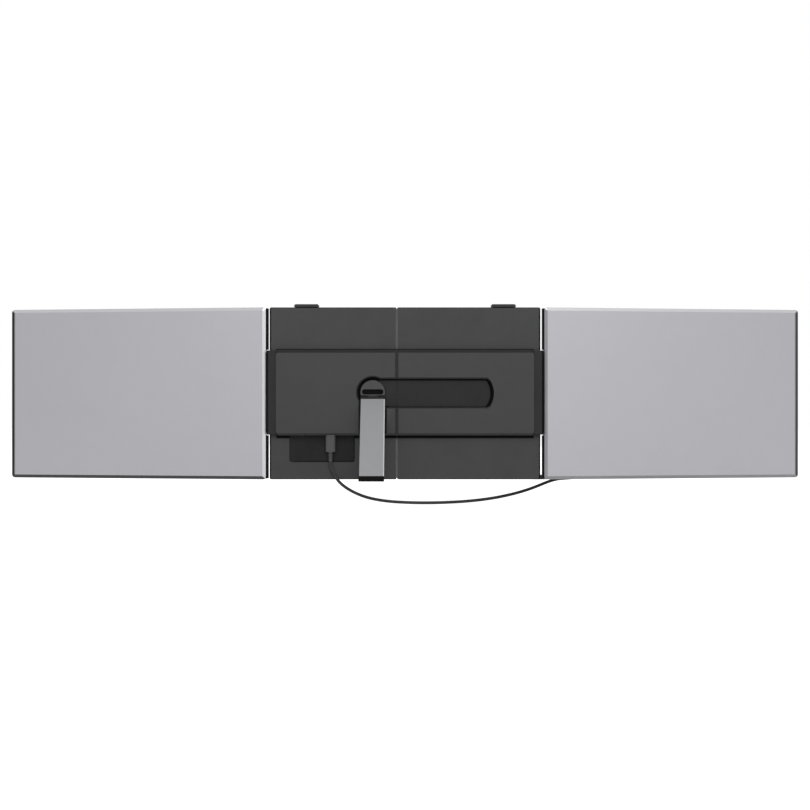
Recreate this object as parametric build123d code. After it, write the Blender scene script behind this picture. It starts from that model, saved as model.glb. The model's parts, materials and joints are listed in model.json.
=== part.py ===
from build123d import *
import math
import os

# A laptop screen extender: two display wings hinged to a two-part centre plate that clips
# over a laptop's lid, with a raised bar, a swivelling kickstand and a USB-C lead.
# Axes: +X right seen from behind, +Y towards the user, +Z up. All sizes in mm.
# The origin is the middle of the face that lies against the back of the laptop's lid.

# ------------------------------------------------------------------ driving dimensions
LEFT, RIGHT = -1, 1
OVER = 1.0  # how far a cutting shape reaches past the surface that it opens

# centre plates: a back shell and a front liner in each half
PLATE_HALF_W = 167.6
PLATE_HALF_H = 106.5
PLATE_BACK = -5.0
PLATE_SKIN = 1.3
PLATE_RIM = 1.5
PLATE_CORNER = 2.2
LINER_BACK = -1.8
LINER_FRONT = -0.6
SEAM_X = -10.15
SEAM_GAP = 0.4

# liner screws: short ones near the corners, long ones that reach the bar cover
OUTER_SCREW_X, INNER_SCREW_X = 150.0, 72.0
SHORT_SCREW_Z = (95.0, -95.0)
LONG_SCREW_Z = (45.0, -44.0)
LEFT_LONG_SCREW_X = -66.0
LONG_SCREW_TIP, LONG_HOLE_END = -12.0, -12.4
SCREW_POST_R, SCREW_HOLE_R, SCREW_SHANK_R = 2.6, 1.0, 0.98
SCREW_SEAT_R, SCREW_HEAD_R, SCREW_HEAD_T = 1.9, 1.85, 0.8
SCREW_SOCKET_R, SCREW_SOCKET_DEPTH = 0.75, 0.5
COVER_BOSS_R = 2.8

# the pocket below the bar that the plugs lie in, and the block of the shell round it
BAY_X, BAY_Z, BAY_CORNER = (-143.4, -62.1), (-85.2, -51.1), 3.0
BAY_FLOOR_X, BAY_FLOOR_Z, BAY_FLOOR_CORNER = (-136.2, -63.3), (-83.4, -51.1), 2.4
BAY_BLOCK_X, BAY_BLOCK_Z = (-146.0, -60.3), (-88.0, -49.0)
BAY_FLOOR_T = 1.0

# rubber strips that bear on the lid
PAD_X = ((145.0, 157.0), (34.0, 46.0))
PAD_HALF_H, PAD_CORNER = 75.0, 3.0

# the sheet inside the plates that spans the seam: fixed part, then sliding part
SHEET_X = (-56.0, -14.0, 60.0)
SHEET_Y = (-3.4, -2.1)
SHEET_HALF_H = 104.7

# raised bar across both halves
BAR_HALF_W = 159.0
BAR_LOW, BAR_HIGH = -51.9, 54.0
BAR_FACE = -16.0
BAR_SLOPE_Y, BAR_SLOPE_HIGH, BAR_SLOPE_LOW = 3.5, 4.0, 2.8
BAR_END_CHAMFER = 1.2
BAR_WALL = 1.6
GROOVE_HALF_W, GROOVE_DEPTH = 2.15, 1.1
FLANGE_NOTCH_Y = -6.6

# strips that keep the seam closed as the halves part: Z ranges, X of foot, step and end
SKIN_STRIP_Z = ((21.2, 48.4), (-46.8, -21.0))
SKIN_STRIP_X = (-22.4, -14.0, 36.0)
SKIN_STRIP_T, SKIN_STRIP_PLAY = 1.5, 0.35
FLOOR_STRIP_HALF_H = 18.0
FLOOR_STRIP_X = (-20.6, -14.0, 36.0)
FLOOR_STRIP_T, FLOOR_STRIP_PLAY = 1.3, 0.3

# rails on the left plate and the slide bearings of the right plate that run on them
RAIL_Z = (-37.0, 37.0)
RAIL_X, RAIL_Y, RAIL_HALF_H = (-58.0, 58.0), (-8.3, -6.4), 7.0
RAIL_FOOT_END, RAIL_FOOT_HALF_H = -18.0, 5.0
GUIDE_X, GUIDE_BACK, GUIDE_HALF_H = (-6.0, 61.0), -9.8, 9.0
GUIDE_BORE_Y, GUIDE_BORE_HALF_H = (-8.6, -6.1), 7.3

# kickstand, its round recess and the slot that it parks in
STAND_X, STAND_Z = -39.8, 1.0
RECESS_R = 18.5
SLOT_LOW, SLOT_HIGH = -17.1, 17.3
SLOT_END = 107.3
SLOT_END_R = 28.0
SLOT_FLOOR = -10.0
SLOT_WALL = 1.2
SLOT_BEVEL = 2.3
HEAD_LIFT = 0.2
HEAD_CHAMFER = 0.5
HUB_R, HUB_HOLE_R = 6.0, 6.06
RETAINER_R, RETAINER_T = 10.0, 1.2
RETAINER_SCREW_R, RETAINER_HEAD_R = 1.2, 2.6
SLIT_W, SLIT_H, SLIT_DEPTH, SLIT_RISE = 26.4, 6.4, 3.0, 0.75
LEG_HALF_W = 15.0
LEG_BACK, LEG_FRONT = -15.6, -11.6
LEG_LENGTH = 135.2
LEG_BLOCK = 4.4
LEG_CHAMFER = 1.1
LEG_ROOM = 0.4
TONGUE_HALF_W, TONGUE_HALF_T, TONGUE_LENGTH = 9.0, 0.8, 14.0
FOOT_LENGTH = 5.6
FOOT_PROUD_X, FOOT_PROUD_Y, FOOT_FILLET = 0.15, 0.3, 1.6
FOOT_TONGUE_HALF_W, FOOT_TONGUE_HALF_T, FOOT_TONGUE_LENGTH = 10.0, 1.0, 6.0
TILT_Y, TILT_Z = -13.6, -5.0
TILT_REST = 43.0
KNUCKLE_R = 2.0
KNUCKLE_HALF_W, KNUCKLE_SLACK = 6.0, 0.4
PIN_R, PIN_HALF_LENGTH = 0.9, 14.4

# return springs between the two halves
SPRING_Y, SPRING_Z = -6.85, (-23.6, 23.6)
SPRING_R, SPRING_WIRE_R, SPRING_PITCH = 1.3, 0.3, 2.4
SPRING_COIL_X = (-24.0, 24.0)
SPRING_TAB_X = {LEFT: -30.0, RIGHT: 62.0}
SPRING_TAB_T, SPRING_TAB_RISE, SPRING_TAB_HALF_H = 1.2, 3.4, 2.0
SPRING_CAP_R, SPRING_CAP_T = 1.5, 0.8

# wings and their hinges
WING_W, WING_H = 332.5, 213.0
WING_BACK, WING_RIM, WING_FRONT = -8.0, -2.6, -0.5
WING_CORNER = 4.0
WING_BEVEL_W, WING_BEVEL_D = 4.0, 1.8
WING_WALL = 1.2
WING_SCREW_INSET = 5.2
WING_POST_R, WING_SCREW_HOLE_R, WING_SCREW_R = 2.2, 0.9, 0.88
WING_SCREW_TIP, WING_SCREW_HEAD_R = -5.2, 1.8
WING_REST = 10.0
WING_INNER = {LEFT: 170.34, RIGHT: 169.57}
HINGE_U = 170.5
HINGE_Y = {LEFT: 4.45, RIGHT: 8.8}
BARREL_R = 3.0
SHAFT_R, SHAFT_HALF_LENGTH, SHAFT_CHAMFER = 1.5, 50.6, 0.3
WASHER_R, WASHER_HALF_T = 2.8, 0.4
WASHER_GAPS = [-30.5, -6.5, 6.5, 30.5]

# black front frame of a wing, and what lies behind its window
FRAME_SKIN = -1.3
FRAME_EDGE = 2.0
TRIM_EDGE, TRIM_BACK = 168.1, -5.8
TRIM_NEAR_Z, TRIM_INSET_Z, TRIM_CORNER = 53.0, 1.2, 0.6
NOTCH_END, NOTCH_HALF_H = 173.8, 30.6
SCREEN_W, SCREEN_H = 309.4, 174.0
SCREEN_TOP_BORDER = 10.0
WINDOW_ROOM, WINDOW_CORNER = 0.4, 0.8
PANEL_BORDER, PANEL_CORNER, GUIDE_SHEET_BACK = 2.0, 0.6, -4.6
BUMPER_R, BUMPER_T = 3.6, 0.7
DRIVER_HALF_W, DRIVER_H, DRIVER_RISE = 62.0, 14.0, 8.0
DRIVER_Y, DRIVER_CHIP_Y, DRIVER_CHIP_Z = (-6.8, -5.8), -4.2, (3.0, 12.0)
DRIVER_CHIPS = ((-48.0, 12.0), (-22.0, 20.0), (8.0, 9.0), (36.0, 26.0))

# steel leaf of a wing hinge, and its seat in the shell
LEAF_U, SEAT_END = (171.9, 205.0), 205.5
LEAF_T, LEAF_WALL_END = 1.2, 173.4
LEAF_HALF_H = 31.0
LEAF_HOLE_U, LEAF_HOLE_Z, LEAF_HOLE_R = (182.0, 197.0), 20.0, 1.6
WING_KNUCKLES = [(-30, -7), (7, 30)]

# hinge arms
ARM_MID_Z = 1.0
ARM_HALF_H = 52.0
ARM_INSET_Z = 1.5
ARM_KNUCKLES = [(-50, -31), (-6, 6), (31, 50)]
BRACKET_START, BRACKET_T = 150.0, 1.3
BRACKET_WALL = (167.9, 169.2)
BRACKET_HOLE_R = 3.0
CAP_END, CAP_BACK, CAP_STEP = 171.3, -13.4, -8.5
CAP_FILLET, CAP_CHAMFER = 3.6, 1.0
CAP_SKIRT_END, CAP_POCKET_END, CAP_WALL = 169.1, 167.6, 1.5

# lid hooks
HOOK_U = 122.0
HOOK_HALF_W, HOOK_FILLET = 15.25, 2.2
HOOK_RISE, HOOK_CLEAR = 4.0, 0.3
HOOK_BACK = -4.6
STEM_HALF_W, STEM_LOW = 13.0, 60.0
STEM_ROOM = 0.3
LIP_LOW, LIP_T, LIP_FILLET = 99.0, 2.0, 2.0
LID_GAP = 7.0
GRIP_HALF_W, GRIP_Y, GRIP_T = 12.0, (0.4, 6.6), 1.2

# board behind the port bay
BOARD_X, BOARD_Y, BOARD_Z = (-142.0, -63.0), (-7.85, -6.65), (-49.0, -22.0)
SWITCH_HALF_W, SWITCH_BACK, SWITCH_Z = 1.5, -10.6, (-48.2, -45.5)
BOARD_CHIPS = (
    ((-104.0, -92.0), -9.2, (-38.0, -26.0)), ((-84.0, -78.0), -9.6, (-36.0, -29.0)),
    ((-134.0, -118.0), -10.4, (-29.0, -25.0)),
)

# ports and buttons
PORT_Y = -9.5
PLUG_X = -92.0
SPARE_PORT_X = -75.0
HDMI_X = -108.0
BUTTON_X = [-134.0, -127.0, -120.0]
SOCKET_WALL, SOCKET_END_WALL, TONGUE_RECESS = 0.3, 0.6, 1.2
USB_HALF_W, USB_HALF_T, USB_DEPTH = 4.5, 1.65, 7.5
USB_TONGUE_HALF_W, USB_TONGUE_HALF_T = 3.3, 0.35
HDMI_HALF_W, HDMI_BACK, HDMI_DEPTH = 5.7, 1.7, 7.0
HDMI_TONGUE_HALF_W, HDMI_TONGUE_Y = 3.8, (-0.1, 0.6)
USB_HOLE, HDMI_HOLE = (4.8, 1.9), (6.1, 2.1)
BUTTON_R, BUTTON_HOLE_R, COLLAR_R = 1.65, 1.75, 2.3
BUTTON_PROUD, BUTTON_REACH, BUTTON_CHAMFER = 0.7, 2.8, 0.25
COLLAR_Z = (0.05, 0.75)

# plugs and lead
PLUG_W, PLUG_T = 12.0, 6.2
PLUG_LENGTH, PLUG_GAP = 20.3, 0.25
PLUG_FILLET, PLUG_END_FILLET = 2.4, 0.7
METAL_HALF_W, METAL_HALF_T, METAL_FILLET = 4.1, 1.2, 1.1
METAL_LENGTH, METAL_INSERT = 6.6, 6.4
MOUTH_HALF_W, MOUTH_HALF_T, MOUTH_START = 3.5, 0.6, 1.4
LAPTOP_PLUG_ROOT = 1.7
RELIEF_RADII = (2.9, 2.3)
CORD_D = 3.8
CORD_BEND = 0.45  # share of the shorter run that a bend may take up
# the lead's route: down from the plug, a hanging bow, then round to a laptop's side port
CORD_ROUTE = [
    (-92.0, -9.5, -83.9), (-92.0, -9.5, -90.0), (-88.2, -9.4, -99.1), (-79.0, -8.8, -113.4),
    (-54.1, -1.8, -127.6), (-24.9, 6.8, -134.3), (10.6, 17.2, -136.8), (47.5, 28.1, -137.2),
    (86.4, 39.6, -135.6), (122.8, 50.3, -131.0), (158.5, 60.9, -122.4), (190.2, 71.6, -109.7),
    (209.0, 85.0, -108.9), (222.5, 104.0, -109.0), (229.5, 125.0, -109.3), (226.5, 144.0, -109.9),
    (215.0, 155.0, -110.3), (201.0, 155.0, -110.3),
]
LAPTOP_PLUG_TIP = (168.0, 155.0, -110.3)


# ------------------------------------------------------------------ shape helpers
def block(x, y, z):
    """A box from three (low, high) pairs."""
    middle = [(a + b) / 2 for a, b in (x, y, z)]
    size = [abs(b - a) for a, b in (x, y, z)]
    return Pos(*middle) * Box(*size)


def around(middle, half):
    """The (low, high) pair at an equal distance on both sides of a middle."""
    return (middle - half, middle + half)


def facing_back(sketch, y):
    """A sketch drawn in X and Z, placed at depth y with its normal along -Y."""
    return Pos(0, y, 0) * Rot(90, 0, 0) * sketch


def rounded_face(x, z, radius, y):
    """A rounded rectangle at depth y."""
    outline = Pos(sum(x) / 2, sum(z) / 2) * RectangleRounded(abs(x[1] - x[0]), abs(z[1] - z[0]), radius)
    return facing_back(outline, y)


def slab(x, y, z, radius):
    """A plate whose four corners, seen along Y, are rounded."""
    return extrude(rounded_face(x, z, radius, max(y)), abs(y[1] - y[0]))


def frustum(low, high):
    """A straight-sided solid between two rounded rectangles, each (x, z, radius, y)."""
    return loft([rounded_face(*low), rounded_face(*high)], ruled=True)


def rod(radius, start, end):
    """A round bar from one point to another."""
    start, end = Vector(*start), Vector(*end)
    return extrude(Plane(origin=start, z_dir=end - start) * Circle(radius), (end - start).length)


def rod_y(radius, x, y, z):
    """A round bar along Y between two depths."""
    return rod(radius, (x, y[0], z), (x, y[1], z))


def rod_z(radius, x, y, z):
    """A round bar along Z between two heights."""
    return rod(radius, (x, y, z[0]), (x, y, z[1]))


def taper(radius_a, radius_b, start, end):
    """A round bar that changes its radius evenly."""
    start, end = Vector(*start), Vector(*end)
    length = (end - start).length
    return Plane(origin=start, z_dir=end - start) * Pos(0, 0, length / 2) * Cone(radius_a, radius_b, length)


def across(side, near, far):
    """The X range between two distances from the middle, on one side."""
    return tuple(sorted((side * near, side * far)))


def half_range(side, outer):
    """The X range of one half, from the seam to its outer edge."""
    edge = SEAM_X + side * SEAM_GAP / 2
    return (-outer, edge) if side == LEFT else (edge, outer)


# ------------------------------------------------------------------ centre plates
def liner_screw_places(side):
    """Where the liner's screws go, and whether each reaches on into the bar cover."""
    short = [(side * x, z, False) for x in (OUTER_SCREW_X, INNER_SCREW_X) for z in SHORT_SCREW_Z]
    long = [(side * OUTER_SCREW_X, z, True) for z in LONG_SCREW_Z]
    if side == LEFT:
        return short + long + [(LEFT_LONG_SCREW_X, LONG_SCREW_Z[0], True)]
    return short + long + [(INNER_SCREW_X, z, True) for z in LONG_SCREW_Z]


def bay_cut():
    """The sloped pocket below the bar that holds the ports."""
    mouth = (BAY_X, BAY_Z, BAY_CORNER, PLATE_BACK)
    return frustum(mouth, (BAY_FLOOR_X, BAY_FLOOR_Z, BAY_FLOOR_CORNER, LINER_BACK - BAY_FLOOR_T))


def spring_tabs(side):
    """Tabs on the plate's back that the two return springs pull on."""
    x = sorted((SPRING_TAB_X[side], SPRING_TAB_X[side] + side * SPRING_TAB_T))
    y = (PLATE_BACK - SPRING_TAB_RISE, PLATE_BACK)
    return [block(x, y, around(z, SPRING_TAB_HALF_H)) for z in SPRING_Z]


def plate_shell(side):
    """The back shell of one half, with its screw posts, the plug bay and the spring tabs."""
    inner_y, inner_h = PLATE_BACK + PLATE_SKIN, PLATE_HALF_H - PLATE_RIM
    x, z = half_range(side, PLATE_HALF_W), around(0, PLATE_HALF_H)
    shell = slab(x, (PLATE_BACK, LINER_BACK), z, PLATE_CORNER)
    hollow_x = across(side, SEAM_X * side - OVER, PLATE_HALF_W - PLATE_RIM)
    shell -= block(hollow_x, (inner_y, LINER_BACK + OVER), around(0, inner_h))
    for post_x, post_z, _ in liner_screw_places(side):
        shell += rod_y(SCREW_POST_R, post_x, (inner_y, LINER_BACK), post_z)
    if side == LEFT:
        shell += block(BAY_BLOCK_X, (PLATE_BACK, LINER_BACK), BAY_BLOCK_Z)
        shell -= bay_cut()
    shell -= block(around(side * HOOK_U, STEM_HALF_W + STEM_ROOM), (inner_y, LINER_BACK + OVER),
                   (inner_h - OVER, PLATE_HALF_H + OVER))
    for post_x, post_z, long in liner_screw_places(side):
        hole_end = PLATE_BACK - OVER if long else inner_y + 0.3
        shell -= rod_y(SCREW_HOLE_R, post_x, (LINER_BACK + OVER, hole_end), post_z)
    for tab in spring_tabs(side):
        shell += tab
    return shell


def front_liner(side):
    """The thin sheet that closes the plate's front, countersunk for its screws."""
    x, z = half_range(side, PLATE_HALF_W), around(0, PLATE_HALF_H)
    liner = slab(x, (LINER_BACK, LINER_FRONT), z, PLATE_CORNER)
    for screw_x, screw_z, _ in liner_screw_places(side):
        liner -= rod_y(SCREW_SEAT_R, screw_x, (LINER_FRONT + OVER, LINER_FRONT - SCREW_HEAD_T), screw_z)
        liner -= rod_y(SCREW_HOLE_R, screw_x, (LINER_FRONT, LINER_BACK - OVER), screw_z)
    return liner


def liner_screws(side):
    """Flat-head screws; the long ones hold the bar cover too."""
    screws = []
    for x, z, long in liner_screw_places(side):
        tip = LONG_SCREW_TIP if long else PLATE_BACK + PLATE_SKIN + 0.4
        seat = LINER_FRONT - SCREW_HEAD_T
        head = rod_y(SCREW_HEAD_R, x, (LINER_FRONT - 0.05, seat), z)
        socket = Pos(x, LINER_FRONT, z) * Rot(90, 0, 0) * RegularPolygon(SCREW_SOCKET_R, 6)
        head -= extrude(socket, SCREW_SOCKET_DEPTH)
        screws.append(rod_y(SCREW_SHANK_R, x, (seat, tip), z) + head)
    return screws


def lid_pads(side):
    """Two rubber strips that bear on the lid."""
    return [slab(across(side, *x), (LINER_FRONT, 0.0), around(0, PAD_HALF_H), PAD_CORNER) for x in PAD_X]


def plate_sleeve():
    """The inner sheet that spans the seam between the two plates when they slide apart."""
    foot, step, end = SHEET_X
    fixed = block((foot, step), (PLATE_BACK + PLATE_SKIN, LINER_BACK), around(0, SHEET_HALF_H))
    return fixed + block((step, end), SHEET_Y, around(0, SHEET_HALF_H))


# ------------------------------------------------------------------ raised bar
def bar_section(wall):
    """The bar's cross-section in Y and Z, drawn in by a wall; it is open towards the plate."""
    behind = PLATE_BACK if wall == 0 else PLATE_BACK + 4
    knee = BAR_FACE + BAR_SLOPE_Y
    points = [
        (behind, BAR_LOW), (knee, BAR_LOW), (BAR_FACE, BAR_LOW + BAR_SLOPE_LOW),
        (BAR_FACE, BAR_HIGH - BAR_SLOPE_HIGH), (knee, BAR_HIGH), (behind, BAR_HIGH),
    ]
    face = make_face(Polyline(*points, close=True))
    return face if wall == 0 else offset(face, -wall, kind=Kind.INTERSECTION)


def along_x(sketch, x):
    """Extrude a sketch drawn in Y and Z between two X positions."""
    return extrude(Plane.YZ.offset(x[0]) * sketch, x[1] - x[0])


def slot_outline(grow=0.0):
    """The parking slot, from the swivel's axis to its shallow curved end."""
    low, high, end = SLOT_LOW - grow, SLOT_HIGH + grow, SLOT_END + grow
    half = (high - low) / 2
    corner = end - SLOT_END_R + math.sqrt(SLOT_END_R**2 - half**2)
    edge = Line((STAND_X, low), (corner, low))
    edge += ThreePointArc((corner, low), (end, (low + high) / 2), (corner, high))
    edge += Polyline((corner, high), (STAND_X, high), (STAND_X, low))
    return make_face(edge)


def stand_recess(grow=0.0):
    """The round recess, the slot and the downward channel, as one outline."""
    outline = slot_outline(grow) + Pos(STAND_X, STAND_Z) * Circle(RECESS_R + grow)
    half, low = LEG_HALF_W + LEG_ROOM + grow, BAR_LOW - 2 * OVER
    channel = Pos(STAND_X, (low + STAND_Z) / 2) * Rectangle(2 * half, STAND_Z - low)
    return outline + channel


def recess_bevel():
    """The sloped rim round the recess and the slot."""
    low = facing_back(slot_outline(SLOT_BEVEL), BAR_FACE)
    high = facing_back(slot_outline(), BAR_FACE + SLOT_BEVEL)
    ring = taper(RECESS_R + SLOT_BEVEL, RECESS_R, (STAND_X, BAR_FACE, STAND_Z),
                 (STAND_X, BAR_FACE + SLOT_BEVEL, STAND_Z))
    return loft([low, high], ruled=True) + ring


def whole_bar():
    """The hollow bar before it is split, with the recess, the slot and the seam's groove."""
    solid = along_x(bar_section(0), around(0, BAR_HALF_W))
    for end in (solid.faces().sort_by(Axis.X)[0], solid.faces().sort_by(Axis.X)[-1]):
        outer = [e for e in end.edges() if e.center().Y < PLATE_BACK - 0.1]
        solid = chamfer(outer, BAR_END_CHAMFER)
    cover = solid - along_x(bar_section(BAR_WALL), around(0, BAR_HALF_W - BAR_WALL))
    back_of_floor = SLOT_FLOOR + SLOT_WALL
    walls = extrude(facing_back(stand_recess(SLOT_WALL), back_of_floor), back_of_floor - BAR_FACE)
    cover += walls & solid
    cover -= extrude(facing_back(stand_recess(), SLOT_FLOOR), SLOT_FLOOR - BAR_FACE + OVER)
    cover -= recess_bevel()
    groove_y = (BAR_FACE - OVER, BAR_FACE + GROOVE_DEPTH)
    return cover - block(around(SEAM_X, GROOVE_HALF_W), groove_y, (BAR_LOW - OVER, BAR_HIGH + OVER))


def bar_half(side, cover):
    """One half of the bar, with posts for the long screws and a gap for the arm's bracket."""
    keep_x, keep_z = half_range(side, BAR_HALF_W + OVER), (BAR_LOW - OVER, BAR_HIGH + OVER)
    half = cover & block(keep_x, (BAR_FACE - OVER, 0), keep_z)
    places = [(x, z) for x, z, long in liner_screw_places(side) if long]
    for x, z in places:
        half += rod_y(COVER_BOSS_R, x, (BAR_FACE + OVER, PLATE_BACK), z)
    for x, z in places:
        half -= rod_y(SCREW_HOLE_R, x, (LONG_HOLE_END, 0), z)
    wall_x = across(side, BAR_HALF_W - BAR_WALL - OVER, BAR_HALF_W + OVER)
    return half - block(wall_x, (FLANGE_NOTCH_Y, PLATE_BACK + OVER), around(ARM_MID_Z, ARM_HALF_H - OVER))


def bar_covers():
    """Both halves of the bar, cut from one hollow shape so that their lines run through."""
    cover = whole_bar()
    hub_hole = rod_y(HUB_HOLE_R, STAND_X, (SLOT_FLOOR - OVER, SLOT_FLOOR + SLOT_WALL + OVER), STAND_Z)
    return {LEFT: bar_half(LEFT, cover) - port_holes() - hub_hole, RIGHT: bar_half(RIGHT, cover)}


def port_holes():
    """Openings in the bar's lower wall for the ports and the buttons."""
    z = (BAR_LOW - OVER, BAR_LOW + BAR_WALL + 0.5)
    holes = block(around(HDMI_X, HDMI_HOLE[0]), around(PORT_Y, HDMI_HOLE[1]), z)
    for x in (PLUG_X, SPARE_PORT_X):
        holes += block(around(x, USB_HOLE[0]), around(PORT_Y, USB_HOLE[1]), z)
    for x in BUTTON_X:
        holes += rod_z(BUTTON_HOLE_R, x, PORT_Y, z)
    return holes


def seam_strip(x, z, surface, thickness, play):
    """A strip fixed to one half whose free end runs behind the other half with a little play."""
    foot, step, end = x
    fixed = block((foot, step), (surface, surface + thickness), z)
    return fixed + block((step, end), (surface + play, surface + thickness), z)


def seam_sleeves():
    """Strips behind the bar's skin and slot that keep the seam closed as the halves part."""
    skin, floor_back = BAR_FACE + BAR_WALL, SLOT_FLOOR + SLOT_WALL
    strips = [seam_strip(SKIN_STRIP_X, z, skin, SKIN_STRIP_T, SKIN_STRIP_PLAY) for z in SKIN_STRIP_Z]
    floor_z = around(0, FLOOR_STRIP_HALF_H)
    return strips + [seam_strip(FLOOR_STRIP_X, floor_z, floor_back, FLOOR_STRIP_T, FLOOR_STRIP_PLAY)]


def slide_rails():
    """Steel rails screwed to the left plate, on which the right half slides."""
    foot_x, foot_y = (RAIL_X[0], RAIL_FOOT_END), (RAIL_Y[1], PLATE_BACK)
    return [
        block(RAIL_X, RAIL_Y, around(z, RAIL_HALF_H)) + block(foot_x, foot_y, around(z, RAIL_FOOT_HALF_H))
        for z in RAIL_Z
    ]


def rail_guides():
    """Slide bearings on the right plate, one round each rail."""
    bore_x = (GUIDE_X[0] - OVER, GUIDE_X[1] + OVER)
    return [
        block(GUIDE_X, (GUIDE_BACK, PLATE_BACK), around(z, GUIDE_HALF_H))
        - block(bore_x, GUIDE_BORE_Y, around(z, GUIDE_BORE_HALF_H))
        for z in RAIL_Z
    ]


def return_spring(z):
    """A tension spring: its coil, an end cap at each end and the straight ends to the tabs."""
    left, right = SPRING_COIL_X
    coil = Helix(pitch=SPRING_PITCH, height=right - left, radius=SPRING_R, center=(left, SPRING_Y, z),
                 direction=(1, 0, 0))
    spring = sweep(Plane(origin=coil @ 0, z_dir=coil % 0) * Circle(SPRING_WIRE_R), path=coil)
    for inner, outer in ((left, SPRING_TAB_X[LEFT]), (right, SPRING_TAB_X[RIGHT])):
        half_cap = math.copysign(SPRING_CAP_T / 2, outer - inner)
        spring += rod(SPRING_CAP_R, (inner - half_cap, SPRING_Y, z), (inner + half_cap, SPRING_Y, z))
        spring += rod(SPRING_WIRE_R, (inner, SPRING_Y, z), (outer, SPRING_Y, z))
    return spring


def return_springs():
    """Two tension springs that draw the halves together onto the lid."""
    return [return_spring(z) for z in SPRING_Z]


# ------------------------------------------------------------------ electronics and ports
def main_board():
    """The hub's board with its switches and its larger parts."""
    board = block(BOARD_X, BOARD_Y, BOARD_Z)
    for x in BUTTON_X:
        board += block(around(x, SWITCH_HALF_W), (SWITCH_BACK, BOARD_Y[0]), SWITCH_Z)
    for x, back, z in BOARD_CHIPS:
        board += block(x, (back, BOARD_Y[0]), z)
    return board


def usb_c_socket(x):
    """A receptacle shell with its tongue, mouth down."""
    mouth = BAR_LOW + BAR_WALL + 0.1
    back = mouth + USB_DEPTH
    shell = block(around(x, USB_HALF_W), around(PORT_Y, USB_HALF_T), (mouth, back))
    shell -= block(around(x, USB_HALF_W - SOCKET_WALL), around(PORT_Y, USB_HALF_T - SOCKET_WALL),
                   (mouth - OVER, back - SOCKET_END_WALL))
    tongue_z = (mouth + TONGUE_RECESS, back - SOCKET_END_WALL / 2)
    return shell + block(around(x, USB_TONGUE_HALF_W), around(PORT_Y, USB_TONGUE_HALF_T), tongue_z)


def mini_hdmi_socket():
    """The display receptacle, flat on the board, mouth down."""
    mouth = BAR_LOW + BAR_WALL + 0.1
    back, y = mouth + HDMI_DEPTH, (PORT_Y - HDMI_BACK, BOARD_Y[0])
    shell = block(around(HDMI_X, HDMI_HALF_W), y, (mouth, back))
    shell -= block(around(HDMI_X, HDMI_HALF_W - SOCKET_WALL), (y[0] + SOCKET_WALL, y[1] - SOCKET_WALL),
                   (mouth - OVER, back - SOCKET_END_WALL))
    tongue_y = [PORT_Y + offset_y for offset_y in HDMI_TONGUE_Y]
    tongue_z = (mouth + TONGUE_RECESS, back - SOCKET_END_WALL / 2)
    return shell + block(around(HDMI_X, HDMI_TONGUE_HALF_W), tongue_y, tongue_z)


def push_button(x):
    """A plunger with a collar that keeps it in the wall."""
    inner = BAR_LOW + BAR_WALL
    stem = rod_z(BUTTON_R, x, PORT_Y, (BAR_LOW - BUTTON_PROUD, BAR_LOW + BUTTON_REACH))
    stem = chamfer(stem.edges().group_by(Axis.Z)[0], BUTTON_CHAMFER)
    return stem + rod_z(COLLAR_R, x, PORT_Y, [inner + z for z in COLLAR_Z])


# ------------------------------------------------------------------ lead
def hub_plug():
    """The moulded plug in the bar, with the sleeve that tapers to the lead."""
    top = BAR_LOW - PLUG_GAP
    low = top - PLUG_LENGTH
    body = block(around(PLUG_X, PLUG_W / 2), around(PORT_Y, PLUG_T / 2), (low, top))
    body = fillet(body.edges().filter_by(Axis.Z), PLUG_FILLET)
    body = fillet(body.edges().group_by(Axis.Z)[0], PLUG_END_FILLET)
    return body + taper(*RELIEF_RADII, (PLUG_X, PORT_Y, low), CORD_ROUTE[0])


def laptop_plug():
    """The same moulding, lying along X at the lead's other end."""
    tip_x, y, z = LAPTOP_PLUG_TIP
    start = tip_x + LAPTOP_PLUG_ROOT
    body = block((start, start + PLUG_LENGTH), around(y, PLUG_W / 2), around(z, PLUG_T / 2))
    body = fillet(body.edges().filter_by(Axis.X), PLUG_FILLET)
    body = fillet(body.edges().group_by(Axis.X)[-1], PLUG_END_FILLET)
    return body + taper(*RELIEF_RADII, (start + PLUG_LENGTH, y, z), CORD_ROUTE[-1])


def plug_shells():
    """The two thin metal plugs, one in the socket and one free."""
    hub = block(around(PLUG_X, METAL_HALF_W), around(PORT_Y, METAL_HALF_T),
                (BAR_LOW - PLUG_GAP, BAR_LOW + METAL_INSERT))
    hub = fillet(hub.edges().filter_by(Axis.Z), METAL_FILLET)
    hub -= block(around(PLUG_X, MOUTH_HALF_W), around(PORT_Y, MOUTH_HALF_T),
                 (BAR_LOW + MOUTH_START, BAR_LOW + METAL_INSERT + OVER))
    tip_x, y, z = LAPTOP_PLUG_TIP
    root = tip_x + LAPTOP_PLUG_ROOT
    free = block((root - METAL_LENGTH, root), around(y, METAL_HALF_W), around(z, METAL_HALF_T))
    free = fillet(free.edges().filter_by(Axis.X), METAL_FILLET)
    free -= block((root - METAL_LENGTH - OVER, tip_x), around(y, MOUTH_HALF_W), around(z, MOUTH_HALF_T))
    return [hub, free]


def link_cord():
    """The lead's tube: straight runs joined by arcs as large as the runs allow."""
    points = [Vector(*p) for p in CORD_ROUTE]
    runs = [b - a for a, b in zip(points, points[1:])]
    radii = []
    for before, after in zip(runs, runs[1:]):
        turn = math.radians(before.get_angle(after))
        radii.append(CORD_BEND * min(before.length, after.length) / math.tan(turn / 2))
    path = FilletPolyline(*points, radius=radii)
    tube = sweep(Plane(origin=points[0], z_dir=runs[0]) * Circle(CORD_D / 2), path=path)
    ratio = tube.volume / (math.pi * CORD_D**2 / 4 * path.length)
    print("lead: length", round(path.length, 1), "tightest arc", round(min(radii), 1))
    print("lead: volume ratio", round(ratio, 4))
    return tube


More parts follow.
